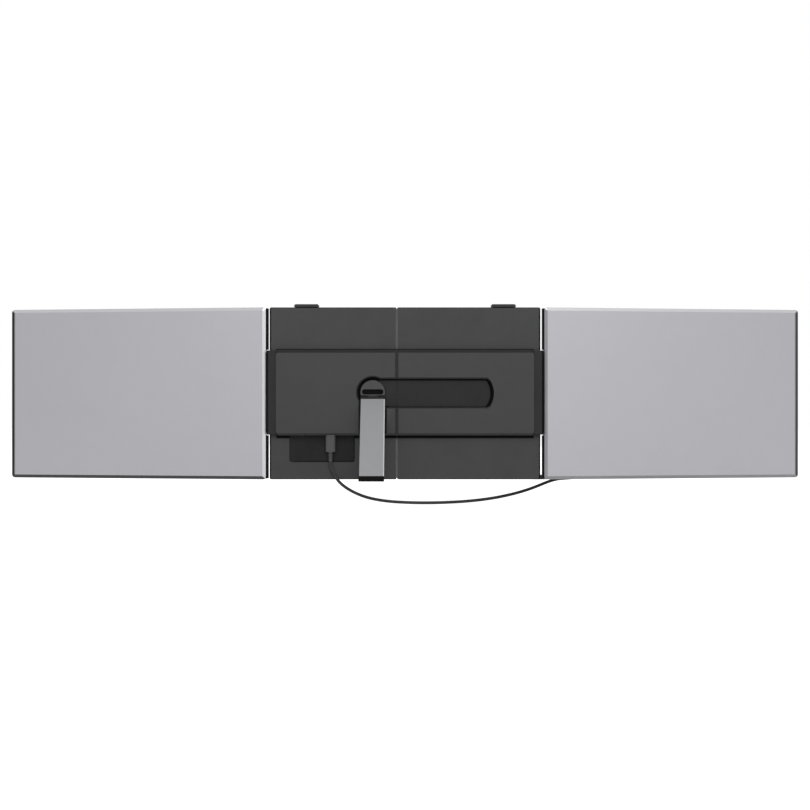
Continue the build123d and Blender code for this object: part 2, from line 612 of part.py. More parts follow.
# ------------------------------------------------------------------ hinge arms
def arm_bracket(side):
    """A steel angle from the plate's back, round its edge, to three hinge knuckles."""
    z = around(ARM_MID_Z, ARM_HALF_H - ARM_INSET_Z)
    x, y = side * HINGE_U, HINGE_Y[side]
    inner, outer = BRACKET_WALL
    foot_back = PLATE_BACK - BRACKET_T
    wall = across(side, inner, outer)
    bracket = block(across(side, BRACKET_START, outer), (foot_back, PLATE_BACK), z)
    bracket += block(wall, (foot_back, y - BARREL_R - 0.4), z)
    for knuckle in ARM_KNUCKLES:
        knuckle_z = [ARM_MID_Z + offset_z for offset_z in knuckle]
        bracket += block(wall, (PLATE_BACK, y), knuckle_z)
        bracket += rod_z(BARREL_R, x, y, knuckle_z)
    for hole_z in LONG_SCREW_Z:
        bracket -= rod_y(BRACKET_HOLE_R, side * OUTER_SCREW_X, (foot_back - OVER, PLATE_BACK + OVER), hole_z)
    return bracket - rod_z(SHAFT_R + 0.02, x, y, around(ARM_MID_Z, ARM_HALF_H + OVER))


def hinge_shaft(side):
    """The steel pin that both hinge parts turn on."""
    shaft = rod_z(SHAFT_R, side * HINGE_U, HINGE_Y[side], around(ARM_MID_Z, SHAFT_HALF_LENGTH))
    return chamfer(shaft.edges().filter_by(GeomType.CIRCLE), SHAFT_CHAMFER)


def friction_washers(side):
    """Spring washers between the knuckles that hold the wing where it is put."""
    x, y = side * HINGE_U, HINGE_Y[side]
    middles = [ARM_MID_Z + gap for gap in WASHER_GAPS]
    return [
        rod_z(WASHER_R, x, y, around(z, WASHER_HALF_T)) - rod_z(SHAFT_R + 0.05, x, y, around(z, OVER))
        for z in middles
    ]


def arm_cover(side):
    """The moulded cap over the arm, rounded towards the wing."""
    z, near = around(ARM_MID_Z, ARM_HALF_H), BAR_HALF_W + 0.15
    cap = block(across(side, near, CAP_END), (CAP_BACK, CAP_STEP), z)
    outer_edge = [e for e in cap.edges().filter_by(Axis.Z)
                  if abs(e.center().X) > CAP_END - 0.1 and e.center().Y < CAP_BACK + 0.1]
    cap = fillet(outer_edge, CAP_FILLET)
    rims = cap.faces().sort_by(Axis.Y)[0].edges().filter_by(Axis.X)
    cap = chamfer(rims, CAP_CHAMFER)
    cap += block(across(side, near, CAP_SKIRT_END), (CAP_STEP, PLATE_BACK - BRACKET_T), z)
    pocket_x, pocket_y = across(side, near + CAP_WALL, CAP_POCKET_END), (CAP_BACK + CAP_WALL, PLATE_BACK)
    return cap - block(pocket_x, pocket_y, around(ARM_MID_Z, ARM_HALF_H - CAP_WALL))


# ------------------------------------------------------------------ wings
def wing_range(side, inset):
    """The X range of a wing opened in line with the plates, drawn in at both ends."""
    inner = WING_INNER[side]
    return across(side, inner + inset, inner + WING_W - inset)


def wing_screw_places(side):
    """Six screws round the frame, hidden under the rubber dots."""
    inner, inset = WING_INNER[side], WING_SCREW_INSET
    us = (inner + inset, inner + WING_W / 2, inner + WING_W - inset)
    return [(side * u, z) for u in us for z in around(0, WING_H / 2 - inset)]


def wing_shell(side):
    """The metal back with its sloped rim, screw posts and the seat of the hinge leaf."""
    half_h, knee = WING_H / 2, WING_BACK + WING_BEVEL_D
    x, z = wing_range(side, 0), around(0, half_h)
    flat_x, flat_z = wing_range(side, WING_BEVEL_W), around(0, half_h - WING_BEVEL_W)
    flat_corner = WING_CORNER - WING_BEVEL_W + 0.4
    body = slab(x, (knee, WING_RIM), z, WING_CORNER)
    body += frustum((flat_x, flat_z, flat_corner, WING_BACK), (x, z, WING_CORNER, knee))
    body -= slab(wing_range(side, WING_WALL), (knee, WING_RIM + OVER), around(0, half_h - WING_WALL),
                 WING_CORNER - WING_WALL)
    body -= slab(flat_x, (WING_BACK + WING_WALL, knee), flat_z, 1.0)
    for post_x, post_z in wing_screw_places(side):
        body += rod_y(WING_POST_R, post_x, (WING_BACK + WING_WALL + 0.1, WING_RIM), post_z)
        body -= rod_y(WING_SCREW_HOLE_R, post_x, (WING_SCREW_TIP - 0.2, 0), post_z)
    seat_y = (WING_BACK + WING_WALL - 0.1, knee)
    return body + block(across(side, LEAF_U[0], SEAT_END), seat_y, around(ARM_MID_Z, LEAF_HALF_H))


def screen_range(side, extra):
    """The picture area's X and Z ranges, enlarged all round."""
    middle, top = WING_INNER[side] + WING_W / 2, WING_H / 2 - SCREEN_TOP_BORDER
    x = across(side, *around(middle, SCREEN_W / 2 + extra))
    return x, (top - SCREEN_H - extra, top + extra)


def wing_trims(side):
    """The strips beside the hinge, above and below the arm."""
    inner, end = WING_INNER[side], WING_H / 2 - TRIM_INSET_Z
    trims = []
    for low, high in ((ARM_MID_Z + TRIM_NEAR_Z, end), (-end, ARM_MID_Z - TRIM_NEAR_Z)):
        trim = slab(across(side, TRIM_EDGE, inner), (TRIM_BACK, WING_FRONT), (low, high), TRIM_CORNER)
        link_x = across(side, TRIM_EDGE + 0.7, inner + 0.5)
        trims.append(trim + block(link_x, (WING_RIM, WING_FRONT), (low + OVER, high - OVER)))
    return trims


def wing_bezel(side):
    """The black front frame with its window, the hinge's notch and the trim beside it."""
    half_h, behind = WING_H / 2, WING_RIM - OVER
    bezel = slab(wing_range(side, 0), (WING_RIM, WING_FRONT), around(0, half_h), WING_CORNER)
    inside_z = around(0, half_h - FRAME_EDGE)
    bezel -= slab(wing_range(side, FRAME_EDGE), (behind, FRAME_SKIN), inside_z, WING_CORNER - FRAME_EDGE)
    window_x, window_z = screen_range(side, WINDOW_ROOM)
    bezel -= slab(window_x, (FRAME_SKIN - OVER, 0), window_z, WINDOW_CORNER)
    notch_x = across(side, WING_INNER[side] - OVER, NOTCH_END)
    bezel -= block(notch_x, (behind, 0), around(ARM_MID_Z, NOTCH_HALF_H))
    for trim in wing_trims(side):
        bezel += trim
    for x, z in wing_screw_places(side):
        seat = FRAME_SKIN + 0.1
        bezel += rod_y(WING_POST_R, x, (WING_RIM, seat), z)
        bezel -= rod_y(WING_SCREW_HOLE_R + 0.05, x, (behind, 0), z)
        bezel -= rod_y(WING_SCREW_HEAD_R + 0.1, x, (seat, 0), z)
    return bezel


def wing_panel(side):
    """The display panel behind the window."""
    x, z = screen_range(side, PANEL_BORDER)
    return slab(x, (WING_RIM, FRAME_SKIN), z, PANEL_CORNER)


def wing_light_guide(side):
    """The clear sheet that spreads light behind the panel."""
    x, z = screen_range(side, PANEL_BORDER)
    return slab(x, (GUIDE_SHEET_BACK, WING_RIM), z, PANEL_CORNER)


def wing_board(side):
    """The driver board below the panel, with its row of parts."""
    middle, low = WING_INNER[side] + WING_W / 2, -WING_H / 2 + DRIVER_RISE
    board = block(across(side, *around(middle, DRIVER_HALF_W)), DRIVER_Y, (low, low + DRIVER_H))
    chip_y, chip_z = (DRIVER_Y[1], DRIVER_CHIP_Y), [low + z for z in DRIVER_CHIP_Z]
    for offset_u, width in DRIVER_CHIPS:
        board += block(across(side, *around(middle + offset_u, width / 2)), chip_y, chip_z)
    return board


def wing_leaf(side):
    """The steel leaf inside the wing, with the two knuckles that turn on the shaft."""
    x, y, back = side * HINGE_U, HINGE_Y[side], WING_BACK + WING_BEVEL_D
    leaf = block(across(side, *LEAF_U), (back, back + LEAF_T), around(ARM_MID_Z, LEAF_HALF_H))
    for knuckle in WING_KNUCKLES:
        z = [ARM_MID_Z + offset_z for offset_z in knuckle]
        leaf += block(across(side, LEAF_U[0], LEAF_WALL_END), (back, y), z)
        leaf += rod_z(BARREL_R, x, y, z)
    leaf -= rod_z(SHAFT_R + 0.06, x, y, around(ARM_MID_Z, LEAF_HALF_H + OVER))
    for u in LEAF_HOLE_U:
        for z in around(ARM_MID_Z, LEAF_HOLE_Z):
            leaf -= rod_y(LEAF_HOLE_R, side * u, (back - OVER, back + LEAF_T + OVER), z)
    return leaf


def wing_bumpers(side):
    """Rubber dots that keep the closed wings apart."""
    return [rod_y(BUMPER_R, x, (WING_FRONT, WING_FRONT + BUMPER_T), z) for x, z in wing_screw_places(side)]


def wing_screws(side):
    """Bezel screws, hidden under the bumpers."""
    head_y = (WING_FRONT - 0.05, FRAME_SKIN + 0.1)
    return [
        rod_y(WING_SCREW_HEAD_R, x, head_y, z) + rod_y(WING_SCREW_R, x, (head_y[1], WING_SCREW_TIP), z)
        for x, z in wing_screw_places(side)
    ]


def opened(side, shape):
    """Turn a wing piece from in line to its resting angle, forward of the plates."""
    axis = Axis((side * HINGE_U, HINGE_Y[side], 0), (0, 0, 1))
    if isinstance(shape, list):
        return [s.rotate(axis, side * WING_REST) for s in shape]
    return shape.rotate(axis, side * WING_REST)


# ------------------------------------------------------------------ lid hooks
def lid_hook(side):
    """A hook on a flat stem that slides up out of the plate."""
    middle, low, high = side * HOOK_U, PLATE_HALF_H + HOOK_CLEAR, PLATE_HALF_H + HOOK_RISE
    head = block(around(middle, HOOK_HALF_W), (HOOK_BACK, LID_GAP + LIP_T), (low, high))
    head = fillet([e for e in head.edges().filter_by(Axis.Y) if e.center().Z > high - 0.1], HOOK_FILLET)
    lip = block(around(middle, STEM_HALF_W), (LID_GAP, LID_GAP + LIP_T), (LIP_LOW, low + OVER))
    lip = fillet([e for e in lip.edges().filter_by(Axis.Y) if e.center().Z < LIP_LOW + 0.1], LIP_FILLET)
    return head + lip + block(around(middle, STEM_HALF_W), SHEET_Y, (STEM_LOW, low + OVER))


def hook_grip(side):
    """The rubber strip under the hook that sits on the lid's top edge."""
    top = PLATE_HALF_H + HOOK_CLEAR
    return block(around(side * HOOK_U, GRIP_HALF_W), GRIP_Y, (top - GRIP_T, top))


# ------------------------------------------------------------------ kickstand
def swivel_head():
    """The round-topped block that turns in the recess and carries the leg's hinge."""
    base, front = TILT_Z + KNUCKLE_R + 0.5, SLOT_FLOOR - HEAD_LIFT
    outline = Pos(STAND_X, STAND_Z) * Circle(LEG_HALF_W)
    outline += Pos(STAND_X, (STAND_Z + base) / 2) * Rectangle(2 * LEG_HALF_W, STAND_Z - base)
    outline &= Pos(STAND_X, base + 2 * LEG_HALF_W) * Rectangle(4 * LEG_HALF_W, 4 * LEG_HALF_W)
    head = extrude(facing_back(outline, front), front - LEG_BACK)
    head = chamfer(head.faces().sort_by(Axis.Y)[0].edges(), HEAD_CHAMFER)
    slit = Pos(STAND_X, STAND_Z + SLIT_RISE) * SlotOverall(SLIT_W, SLIT_H)
    head -= extrude(facing_back(slit, LEG_BACK + SLIT_DEPTH), SLIT_DEPTH + OVER)
    x, bore_x = around(STAND_X, KNUCKLE_HALF_W), around(STAND_X, KNUCKLE_HALF_W + OVER)
    head += block(x, around(TILT_Y, KNUCKLE_R), (TILT_Z, base + 0.5))
    head += rod(KNUCKLE_R, (x[0], TILT_Y, TILT_Z), (x[1], TILT_Y, TILT_Z))
    head -= rod(PIN_R + 0.02, (bore_x[0], TILT_Y, TILT_Z), (bore_x[1], TILT_Y, TILT_Z))
    hub_end = SLOT_FLOOR + SLOT_WALL + HEAD_LIFT
    head += rod_y(HUB_R, STAND_X, (front - 0.1, hub_end), STAND_Z)
    return head - rod_y(RETAINER_SCREW_R, STAND_X, (SLOT_FLOOR - 1.5, hub_end + OVER), STAND_Z)


def swivel_retainer():
    """The disc and screw behind the slot's floor that hold the swivel in."""
    start = SLOT_FLOOR + SLOT_WALL + HEAD_LIFT
    disc_end = start + RETAINER_T
    disc = rod_y(RETAINER_R, STAND_X, (start, disc_end), STAND_Z)
    disc += rod_y(RETAINER_HEAD_R, STAND_X, (disc_end, disc_end + OVER), STAND_Z)
    return disc + rod_y(RETAINER_SCREW_R - 0.02, STAND_X, (SLOT_FLOOR - 1.4, start), STAND_Z)


def tilt_pin():
    """The pin through the knuckles of head and leg."""
    x = around(STAND_X, PIN_HALF_LENGTH)
    return rod(PIN_R, (x[0], TILT_Y, TILT_Z), (x[1], TILT_Y, TILT_Z))


def leg_hinge():
    """The dark end block of the leg with its two knuckles and the tongue inside the blade."""
    low, gap = TILT_Z - LEG_BLOCK, KNUCKLE_HALF_W + KNUCKLE_SLACK
    leg_x, bore_x = around(STAND_X, LEG_HALF_W), around(STAND_X, LEG_HALF_W + OVER)
    piece = block(leg_x, (LEG_BACK, LEG_FRONT), (low, TILT_Z))
    gap_z = (TILT_Z - KNUCKLE_R - 0.5, TILT_Z + OVER)
    piece -= block(around(STAND_X, gap), (LEG_BACK - OVER, LEG_FRONT + OVER), gap_z)
    for x in ((leg_x[0], STAND_X - gap), (STAND_X + gap, leg_x[1])):
        piece += rod(KNUCKLE_R, (x[0], TILT_Y, TILT_Z), (x[1], TILT_Y, TILT_Z))
    piece -= rod(PIN_R + 0.05, (bore_x[0], TILT_Y, TILT_Z), (bore_x[1], TILT_Y, TILT_Z))
    tongue_z = (low - TONGUE_LENGTH, low + 0.1)
    return piece + block(around(STAND_X, TONGUE_HALF_W), around(TILT_Y, TONGUE_HALF_T), tongue_z)


def stand_leg():
    """The aluminium blade of the kickstand, with a pocket at each end."""
    top, low = TILT_Z - LEG_BLOCK, TILT_Z - LEG_LENGTH + FOOT_LENGTH
    blade = block(around(STAND_X, LEG_HALF_W), (LEG_BACK, LEG_FRONT), (low, top))
    blade = chamfer(blade.edges().filter_by(Axis.Z), LEG_CHAMFER)
    top_z, low_z = (top - TONGUE_LENGTH, top + OVER), (low - OVER, low + FOOT_TONGUE_LENGTH)
    blade -= block(around(STAND_X, TONGUE_HALF_W), around(TILT_Y, TONGUE_HALF_T), top_z)
    return blade - block(around(STAND_X, FOOT_TONGUE_HALF_W), around(TILT_Y, FOOT_TONGUE_HALF_T), low_z)


def leg_foot():
    """The rubber foot with a tongue that plugs into the blade."""
    top, low = TILT_Z - LEG_LENGTH + FOOT_LENGTH, TILT_Z - LEG_LENGTH
    y = (LEG_BACK - FOOT_PROUD_Y, LEG_FRONT + FOOT_PROUD_Y)
    foot = block(around(STAND_X, LEG_HALF_W + FOOT_PROUD_X), y, (low, top))
    foot = fillet(foot.edges().filter_by(Axis.X).group_by(Axis.Z)[0], FOOT_FILLET)
    tongue_z = (top - 0.1, top + FOOT_TONGUE_LENGTH)
    return foot + block(around(STAND_X, FOOT_TONGUE_HALF_W), around(TILT_Y, FOOT_TONGUE_HALF_T), tongue_z)


def propped(shape):
    """Turn a leg piece from flat to its resting angle behind the bar."""
    return shape.rotate(Axis((STAND_X, TILT_Y, TILT_Z), (1, 0, 0)), -TILT_REST)


# ------------------------------------------------------------------ all nodes
def wing_nodes(side, name):
    """The named pieces of one wing, at its resting angle."""
    makers = {
        "shell": wing_shell, "bezel": wing_bezel, "panel": wing_panel, "light_guide": wing_light_guide,
        "driver_board": wing_board, "hinge_leaf": wing_leaf, "bumpers": wing_bumpers, "screws": wing_screws,
    }
    return {f"{name}_wing_{piece}": opened(side, make(side)) for piece, make in makers.items()}


def half_nodes(side, name):
    """The named pieces of one half of the centre, with its arm and its hook."""
    makers = {
        "plate_shell": plate_shell, "front_liner": front_liner, "liner_screws": liner_screws,
        "lid_pads": lid_pads, "arm_bracket": arm_bracket, "hinge_shaft": hinge_shaft,
        "friction_washers": friction_washers, "arm_cover": arm_cover, "lid_hook": lid_hook,
        "hook_grip": hook_grip,
    }
    return {f"{name}_{piece}": make(side) for piece, make in makers.items()}


def shared_nodes():
    """The pieces that there is only one of."""
    return {
        "plate_sleeve": plate_sleeve(), "seam_sleeves": seam_sleeves(), "slide_rails": slide_rails(),
        "rail_guides": rail_guides(), "return_springs": return_springs(), "main_board": main_board(),
        "usb_c_sockets": [usb_c_socket(PLUG_X), usb_c_socket(SPARE_PORT_X)],
        "mini_hdmi_socket": mini_hdmi_socket(),
        "swivel_head": swivel_head(), "swivel_retainer": swivel_retainer(), "tilt_pin": tilt_pin(),
        "leg_hinge": propped(leg_hinge()), "stand_leg": propped(stand_leg()),
        "leg_foot": propped(leg_foot()),
        "hub_plug": hub_plug(), "laptop_plug": laptop_plug(), "plug_shells": plug_shells(),
        "link_cord": link_cord(),
    }


def all_nodes():
    """Every node by name."""
    covers = bar_covers()
    nodes = {"left_bar_cover": covers[LEFT], "right_bar_cover": covers[RIGHT], **shared_nodes()}
    for side, name in ((LEFT, "left"), (RIGHT, "right")):
        nodes |= {**half_nodes(side, name), **wing_nodes(side, name)}
    for name, x in zip(("power_button", "plus_button", "minus_button"), BUTTON_X):
        nodes[name] = push_button(x)
    return nodes


def save(name, shape):
    """Write one node; a list is a group of separate solids."""
    pieces = shape if isinstance(shape, list) else [shape]
    solids = [solid for piece in pieces for solid in piece.solids()]
    export_step(Compound(children=solids) if len(solids) > 1 else solids[0], f"parts/{name}.step")


os.makedirs("parts", exist_ok=True)
for node_name, node_shape in all_nodes().items():
    save(node_name, node_shape)
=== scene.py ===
# %% [markdown]
# # A laptop screen extender
# Two silver display wings are hinged to a black centre plate that hangs on a laptop's lid. Behind the
# plate are a raised bar, a swivelling kickstand and a lead. The solids that carry the load come from the
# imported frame. Blender gives the visible shells their rounded edges, their finishes and the lead.

# %% Load the frame
import bpy
import bmesh
import math
from mathutils import Matrix, Vector
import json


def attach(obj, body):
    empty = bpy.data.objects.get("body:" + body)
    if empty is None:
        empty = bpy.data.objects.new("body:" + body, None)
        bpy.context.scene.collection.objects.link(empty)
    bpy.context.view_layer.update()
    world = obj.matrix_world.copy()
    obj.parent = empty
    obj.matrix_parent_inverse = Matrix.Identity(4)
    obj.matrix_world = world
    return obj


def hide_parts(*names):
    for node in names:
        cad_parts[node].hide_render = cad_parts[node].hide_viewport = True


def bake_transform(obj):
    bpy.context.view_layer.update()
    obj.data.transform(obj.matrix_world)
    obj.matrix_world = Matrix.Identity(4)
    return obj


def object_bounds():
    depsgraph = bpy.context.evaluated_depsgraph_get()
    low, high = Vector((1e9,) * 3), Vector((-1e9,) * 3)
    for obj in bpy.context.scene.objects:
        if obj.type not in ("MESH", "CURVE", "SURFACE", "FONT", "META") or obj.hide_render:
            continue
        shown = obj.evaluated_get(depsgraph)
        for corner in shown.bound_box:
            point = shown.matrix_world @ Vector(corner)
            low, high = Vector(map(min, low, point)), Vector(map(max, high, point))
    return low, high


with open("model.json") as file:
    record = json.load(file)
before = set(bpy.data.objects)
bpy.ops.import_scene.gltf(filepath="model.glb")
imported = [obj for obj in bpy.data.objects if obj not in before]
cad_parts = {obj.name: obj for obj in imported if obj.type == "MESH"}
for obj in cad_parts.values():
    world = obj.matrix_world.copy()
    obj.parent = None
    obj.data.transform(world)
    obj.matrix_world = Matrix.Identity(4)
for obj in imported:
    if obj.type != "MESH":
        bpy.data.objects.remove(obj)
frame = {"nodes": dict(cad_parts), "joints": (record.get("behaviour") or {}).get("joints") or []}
cad_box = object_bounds()
MM = 0.001
LEFT, RIGHT = SIDES = (-1, 1)
SIDE_NAME = {LEFT: "left", RIGHT: "right"}
JOINTS = {joint["name"]: joint for joint in frame["joints"]}

# %% [markdown]
# ## The camera
# A product view of a flat, wide object is taken from far away, so that its lines stay straight. Here the
# lens looks level along +Y from a little over two metres, which keeps both wings the same size.

# %% The camera
CAMERA_DISTANCE, CAMERA_HEIGHT = 2.105, -0.0144
CAMERA_LENS, CAMERA_SENSOR, CAMERA_CLIP = 75.4, 36.0, 20.0


def put_in_scene(name, data):
    """A new object that holds some data, linked to the scene."""
    made = bpy.data.objects.new(name, data)
    bpy.context.scene.collection.objects.link(made)
    return made


camera = put_in_scene("product_camera", bpy.data.cameras.new("product_camera"))
camera.data.lens = CAMERA_LENS
camera.data.sensor_width = CAMERA_SENSOR
camera.data.clip_end = CAMERA_CLIP
camera.location = (0.0, -CAMERA_DISTANCE, CAMERA_HEIGHT)
camera.rotation_euler = (math.radians(90), 0.0, 0.0)
bpy.context.scene.camera = camera
print("camera at", tuple(camera.location))

# %% [markdown]
# ## The lead
# The lead is a fixed length of soft cable, so it comes before everything that could get in its way. A NURBS
# curve is pulled towards its control points without touching them, which bends the way a cable does.
# It leaves the plug straight down, sags between its two ends and turns into the laptop's side port.

# %% The lead
CORD_DIAMETER = 3.8
CORD_ROUTE = [
    (-92.0, -9.5, -83.9), (-92.0, -9.5, -90.0), (-88.2, -9.4, -99.1), (-79.0, -8.8, -113.4),
    (-54.1, -1.8, -127.6), (-24.9, 6.8, -134.3), (10.6, 17.2, -136.8), (47.5, 28.1, -137.2),
    (86.4, 39.6, -135.6), (122.8, 50.3, -131.0), (158.5, 60.9, -122.4), (190.2, 71.6, -109.7),
    (209.0, 85.0, -108.9), (222.5, 104.0, -109.0), (229.5, 125.0, -109.3), (226.5, 144.0, -109.9),
    (215.0, 155.0, -110.3), (201.0, 155.0, -110.3),
]
CORD_STEPS, CORD_ROUNDNESS = 16, 6


def wire(name, kind, route, diameter, roundness):
    """A tube along a route given in millimetres, and the spline inside it."""
    curve = bpy.data.curves.new(name, "CURVE")
    curve.dimensions = "3D"
    curve.bevel_depth = diameter / 2 * MM
    curve.bevel_resolution = roundness
    spline = curve.splines.new(kind)
    spline.points.add(len(route) - 1)
    for point, place in zip(spline.points, route):
        point.co = (*(MM * value for value in place), 1.0)
    return put_in_scene(name, curve), spline


def curve_length(piece):
    """The length of a curve's own line, read from a copy with no thickness."""
    bare = piece.data.copy()
    bare.bevel_depth = 0.0
    probe = put_in_scene("probe", bare)
    mesh = bpy.data.meshes.new_from_object(probe)
    points = [vertex.co.copy() for vertex in mesh.vertices]
    bpy.data.objects.remove(probe)
    bpy.data.meshes.remove(mesh)
    return sum((b - a).length for a, b in zip(points, points[1:]))


link_cord, cord_spline = wire("lead_jacket", "NURBS", CORD_ROUTE, CORD_DIAMETER, CORD_ROUNDNESS)
link_cord.data.resolution_u = CORD_STEPS
link_cord.data.use_fill_caps = True
cord_spline.order_u = 3
cord_spline.use_endpoint_u = True
cord_length = curve_length(link_cord)
print("lead length in mm", round(cord_length / MM, 1))

# %% [markdown]
# ## Modelling helpers
# Every piece starts as a primitive of its real size, is shaped in edit mode and finished with modifiers that
# are applied. The helpers below keep three habits: sizes are given in millimetres, the selection is made
# by a test on each edge's or face's place, and the finished object sits at the origin, so that patterns
# and joints share one frame.

# %% Selection and modes
def deselect_all():
    """Leave edit mode and clear the selection, which the frame leaves full."""
    if bpy.context.object and bpy.context.object.mode != "OBJECT":
        bpy.ops.object.mode_set(mode="OBJECT")
    bpy.ops.object.select_all(action="DESELECT")


def pick(piece):
    """Make one object the active and only selected one."""
    deselect_all()
    piece.select_set(True)
    bpy.context.view_layer.objects.active = piece


def edit(piece, kind):
    """Open a piece in edit mode with nothing selected."""
    pick(piece)
    bpy.ops.object.mode_set(mode="EDIT")
    bpy.ops.mesh.select_mode(type=kind)
    bpy.ops.mesh.select_all(action="DESELECT")
    return bmesh.from_edit_mesh(piece.data)


def done():
    bpy.ops.object.mode_set(mode="OBJECT")


def select_edges(piece, wanted):
    """Select edges by their middle (mm) and direction."""
    mesh = edit(piece, "EDGE")
    for edge in mesh.edges:
        start, end = (v.co / MM for v in edge.verts)
        if wanted((start + end) / 2, (end - start).normalized()):
            edge.select_set(True)
    bmesh.update_edit_mesh(piece.data)


def select_faces(piece, wanted):
    """Select faces by their middle (mm) and normal."""
    mesh = edit(piece, "FACE")
    for face in mesh.faces:
        if wanted(face.calc_center_median() / MM, face.normal):
            face.select_set(True)
    bmesh.update_edit_mesh(piece.data)


# %% [markdown]
# ## Blocks, rods and cuts
# A moulded or machined part rarely has a sharp edge. Its corners are rounded first, as edges of a box,
# and the small break on every other edge comes last, from a bevel modifier limited by angle.

# %% Blocks and rods
ALONG = 0.9  # how far a unit direction has to reach on an axis to count as lying along it


def settle(piece):
    """Put a piece's place, turn and scale into its mesh."""
    pick(piece)
    bpy.ops.object.transform_apply(location=True, rotation=True, scale=True)
    return piece


def as_made(name):
    """Name what an operator has just added, and settle it."""
    piece = bpy.context.object
    piece.name = piece.data.name = name
    return settle(piece)


def block(name, x, y, z):
    """A box between two limits on each axis, in millimetres."""
    deselect_all()
    limits = (x, y, z)
    bpy.ops.mesh.primitive_cube_add(size=1, location=[(a + b) / 2 * MM for a, b in limits])
    bpy.context.object.scale = [abs(b - a) * MM for a, b in limits]
    return as_made(name)


def slab(name, x, y, z, radius, segments=8):
    """A plate whose corners, seen along Y, are rounded."""
    piece = block(name, x, y, z)
    round_edges(piece, lambda middle, run: abs(run.y) > ALONG, radius, segments)
    return piece


def round_edges(piece, wanted, radius, segments=4):
    """Round or chamfer the edges that pass a test."""
    select_edges(piece, wanted)
    bpy.ops.mesh.bevel(offset=radius * MM, segments=segments, affect="EDGES", clamp_overlap=False)
    done()


def push(x, y, z):
    """Extrude the selected faces by a move in millimetres."""
    bpy.ops.mesh.extrude_region_move(TRANSFORM_OT_translate={"value": (x * MM, y * MM, z * MM)})


def placed_between(start, end):
    """How a round primitive lies whose axis runs from one point to another."""
    start, end = Vector(start) * MM, Vector(end) * MM
    turn = (end - start).to_track_quat("Z", "Y").to_euler()
    return {"depth": (end - start).length, "location": (start + end) / 2, "rotation": turn}


def rod(name, radius, start, end, sides=48):
    """A round bar from one point to another."""
    deselect_all()
    bpy.ops.mesh.primitive_cylinder_add(vertices=sides, radius=radius * MM, **placed_between(start, end))
    return as_made(name)


def cone(name, radii, start, end, sides=48):
    """A round bar that changes its radius evenly."""
    deselect_all()
    low, high = (radius * MM for radius in radii)
    bpy.ops.mesh.primitive_cone_add(vertices=sides, radius1=low, radius2=high, **placed_between(start, end))
    return as_made(name)


# %% Cuts and edges
def combine(piece, other, operation):
    """Join, cut or keep the common part of two closed shapes."""
    pick(piece)
    modifier = piece.modifiers.new("combine", "BOOLEAN")
    modifier.operation = operation
    modifier.solver = "EXACT"
    modifier.object = other
    bpy.ops.object.modifier_apply(modifier=modifier.name)
    bpy.data.objects.remove(other)
    return piece


def cut(piece, other):
    return combine(piece, other, "DIFFERENCE")


def add(piece, other):
    return combine(piece, other, "UNION")


def break_edges(piece, size, segments=2, angle=28, smooth=32):
    """The small rounding on every edge that a mould or a deburring tool leaves."""
    pick(piece)
    modifier = piece.modifiers.new("edge_break", "BEVEL")
    modifier.width = size * MM
    modifier.segments = segments
    modifier.limit_method = "ANGLE"
    modifier.angle_limit = math.radians(angle)
    modifier.use_clamp_overlap = True
    modifier.harden_normals = False
    bpy.ops.object.modifier_apply(modifier=modifier.name)
    flatten_normals(piece, smooth)


def flatten_normals(piece, angle):
    """Smooth the roundings only: each large face keeps its own direction."""
    pick(piece)
    bpy.ops.object.shade_smooth_by_angle(angle=math.radians(angle))
    modifier = piece.modifiers.new("face_weights", "WEIGHTED_NORMAL")
    modifier.keep_sharp = True
    modifier.weight = 100
    bpy.ops.object.modifier_apply(modifier=modifier.name)


# %% Limits, paint and reports
def across(side, near, far):
    """The X limits between two distances from the middle, on one side."""
    return tuple(sorted((side * near, side * far)))


def around(middle, half):
    """The two limits at the same distance from a middle."""
    return middle - half, middle + half


def paint(piece, *names):
    """Give a piece its finishes, in slot order."""
    piece.data.materials.clear()
    for name in names:
        piece.data.materials.append(FINISH[name])


def repaint(piece, slot, wanted):
    """Give the faces that pass a test (middle in mm, normal) another of the piece's finishes."""
    for face in piece.data.polygons:
        if wanted(face.center / MM, face.normal):
            face.material_index = slot


def report(piece):
    print(piece.name, len(piece.data.polygons), "faces")


# %% [markdown]
# ## Shared effects
# An effect that several finishes need is built once as a node group with named sockets. Moulded grain is
# the leather-like micro texture of an injection mould, blasted grain is the finer texture of bead-blasted
# and anodised metal, and wear finds the edges that hands and desks rub bright.

# %% Adding and feeding nodes
def feed(tree, made, inputs):
    """Give a node's inputs their values: a socket is linked, anything else is set."""
    for key, value in inputs.items():
        if isinstance(value, bpy.types.NodeSocket):
            tree.links.new(value, made.inputs[key])
        else:
            made.inputs[key].default_value = value


def node(tree, kind, inputs=None, **settings):
    """A shader node with its settings and its inputs."""
    made = tree.nodes.new(f"ShaderNode{kind}")
    for label, value in settings.items():
        setattr(made, label, value)
    feed(tree, made, inputs or {})
    return made


def noise(tree, place, scale, detail, rough=0.5):
    values = {"Vector": place, "Scale": scale, "Detail": detail, "Roughness": rough}
    return node(tree, "TexNoise", values).outputs["Fac"]


def maths(tree, operation, first, second, clamp=False):
    return node(tree, "Math", {0: first, 1: second}, operation=operation, use_clamp=clamp).outputs[0]


def map_range(tree, value, low, high, to_low=0.0, to_high=1.0):
    """Stretch a value from one range to another."""
    values = {"Value": value, "From Min": low, "From Max": high, "To Min": to_low, "To Max": to_high}
    return node(tree, "MapRange", values).outputs["Result"]


def mix_color(tree, factor, first, second):
    return node(tree, "Mix", {0: factor, 6: first, 7: second}, data_type="RGBA").outputs[2]


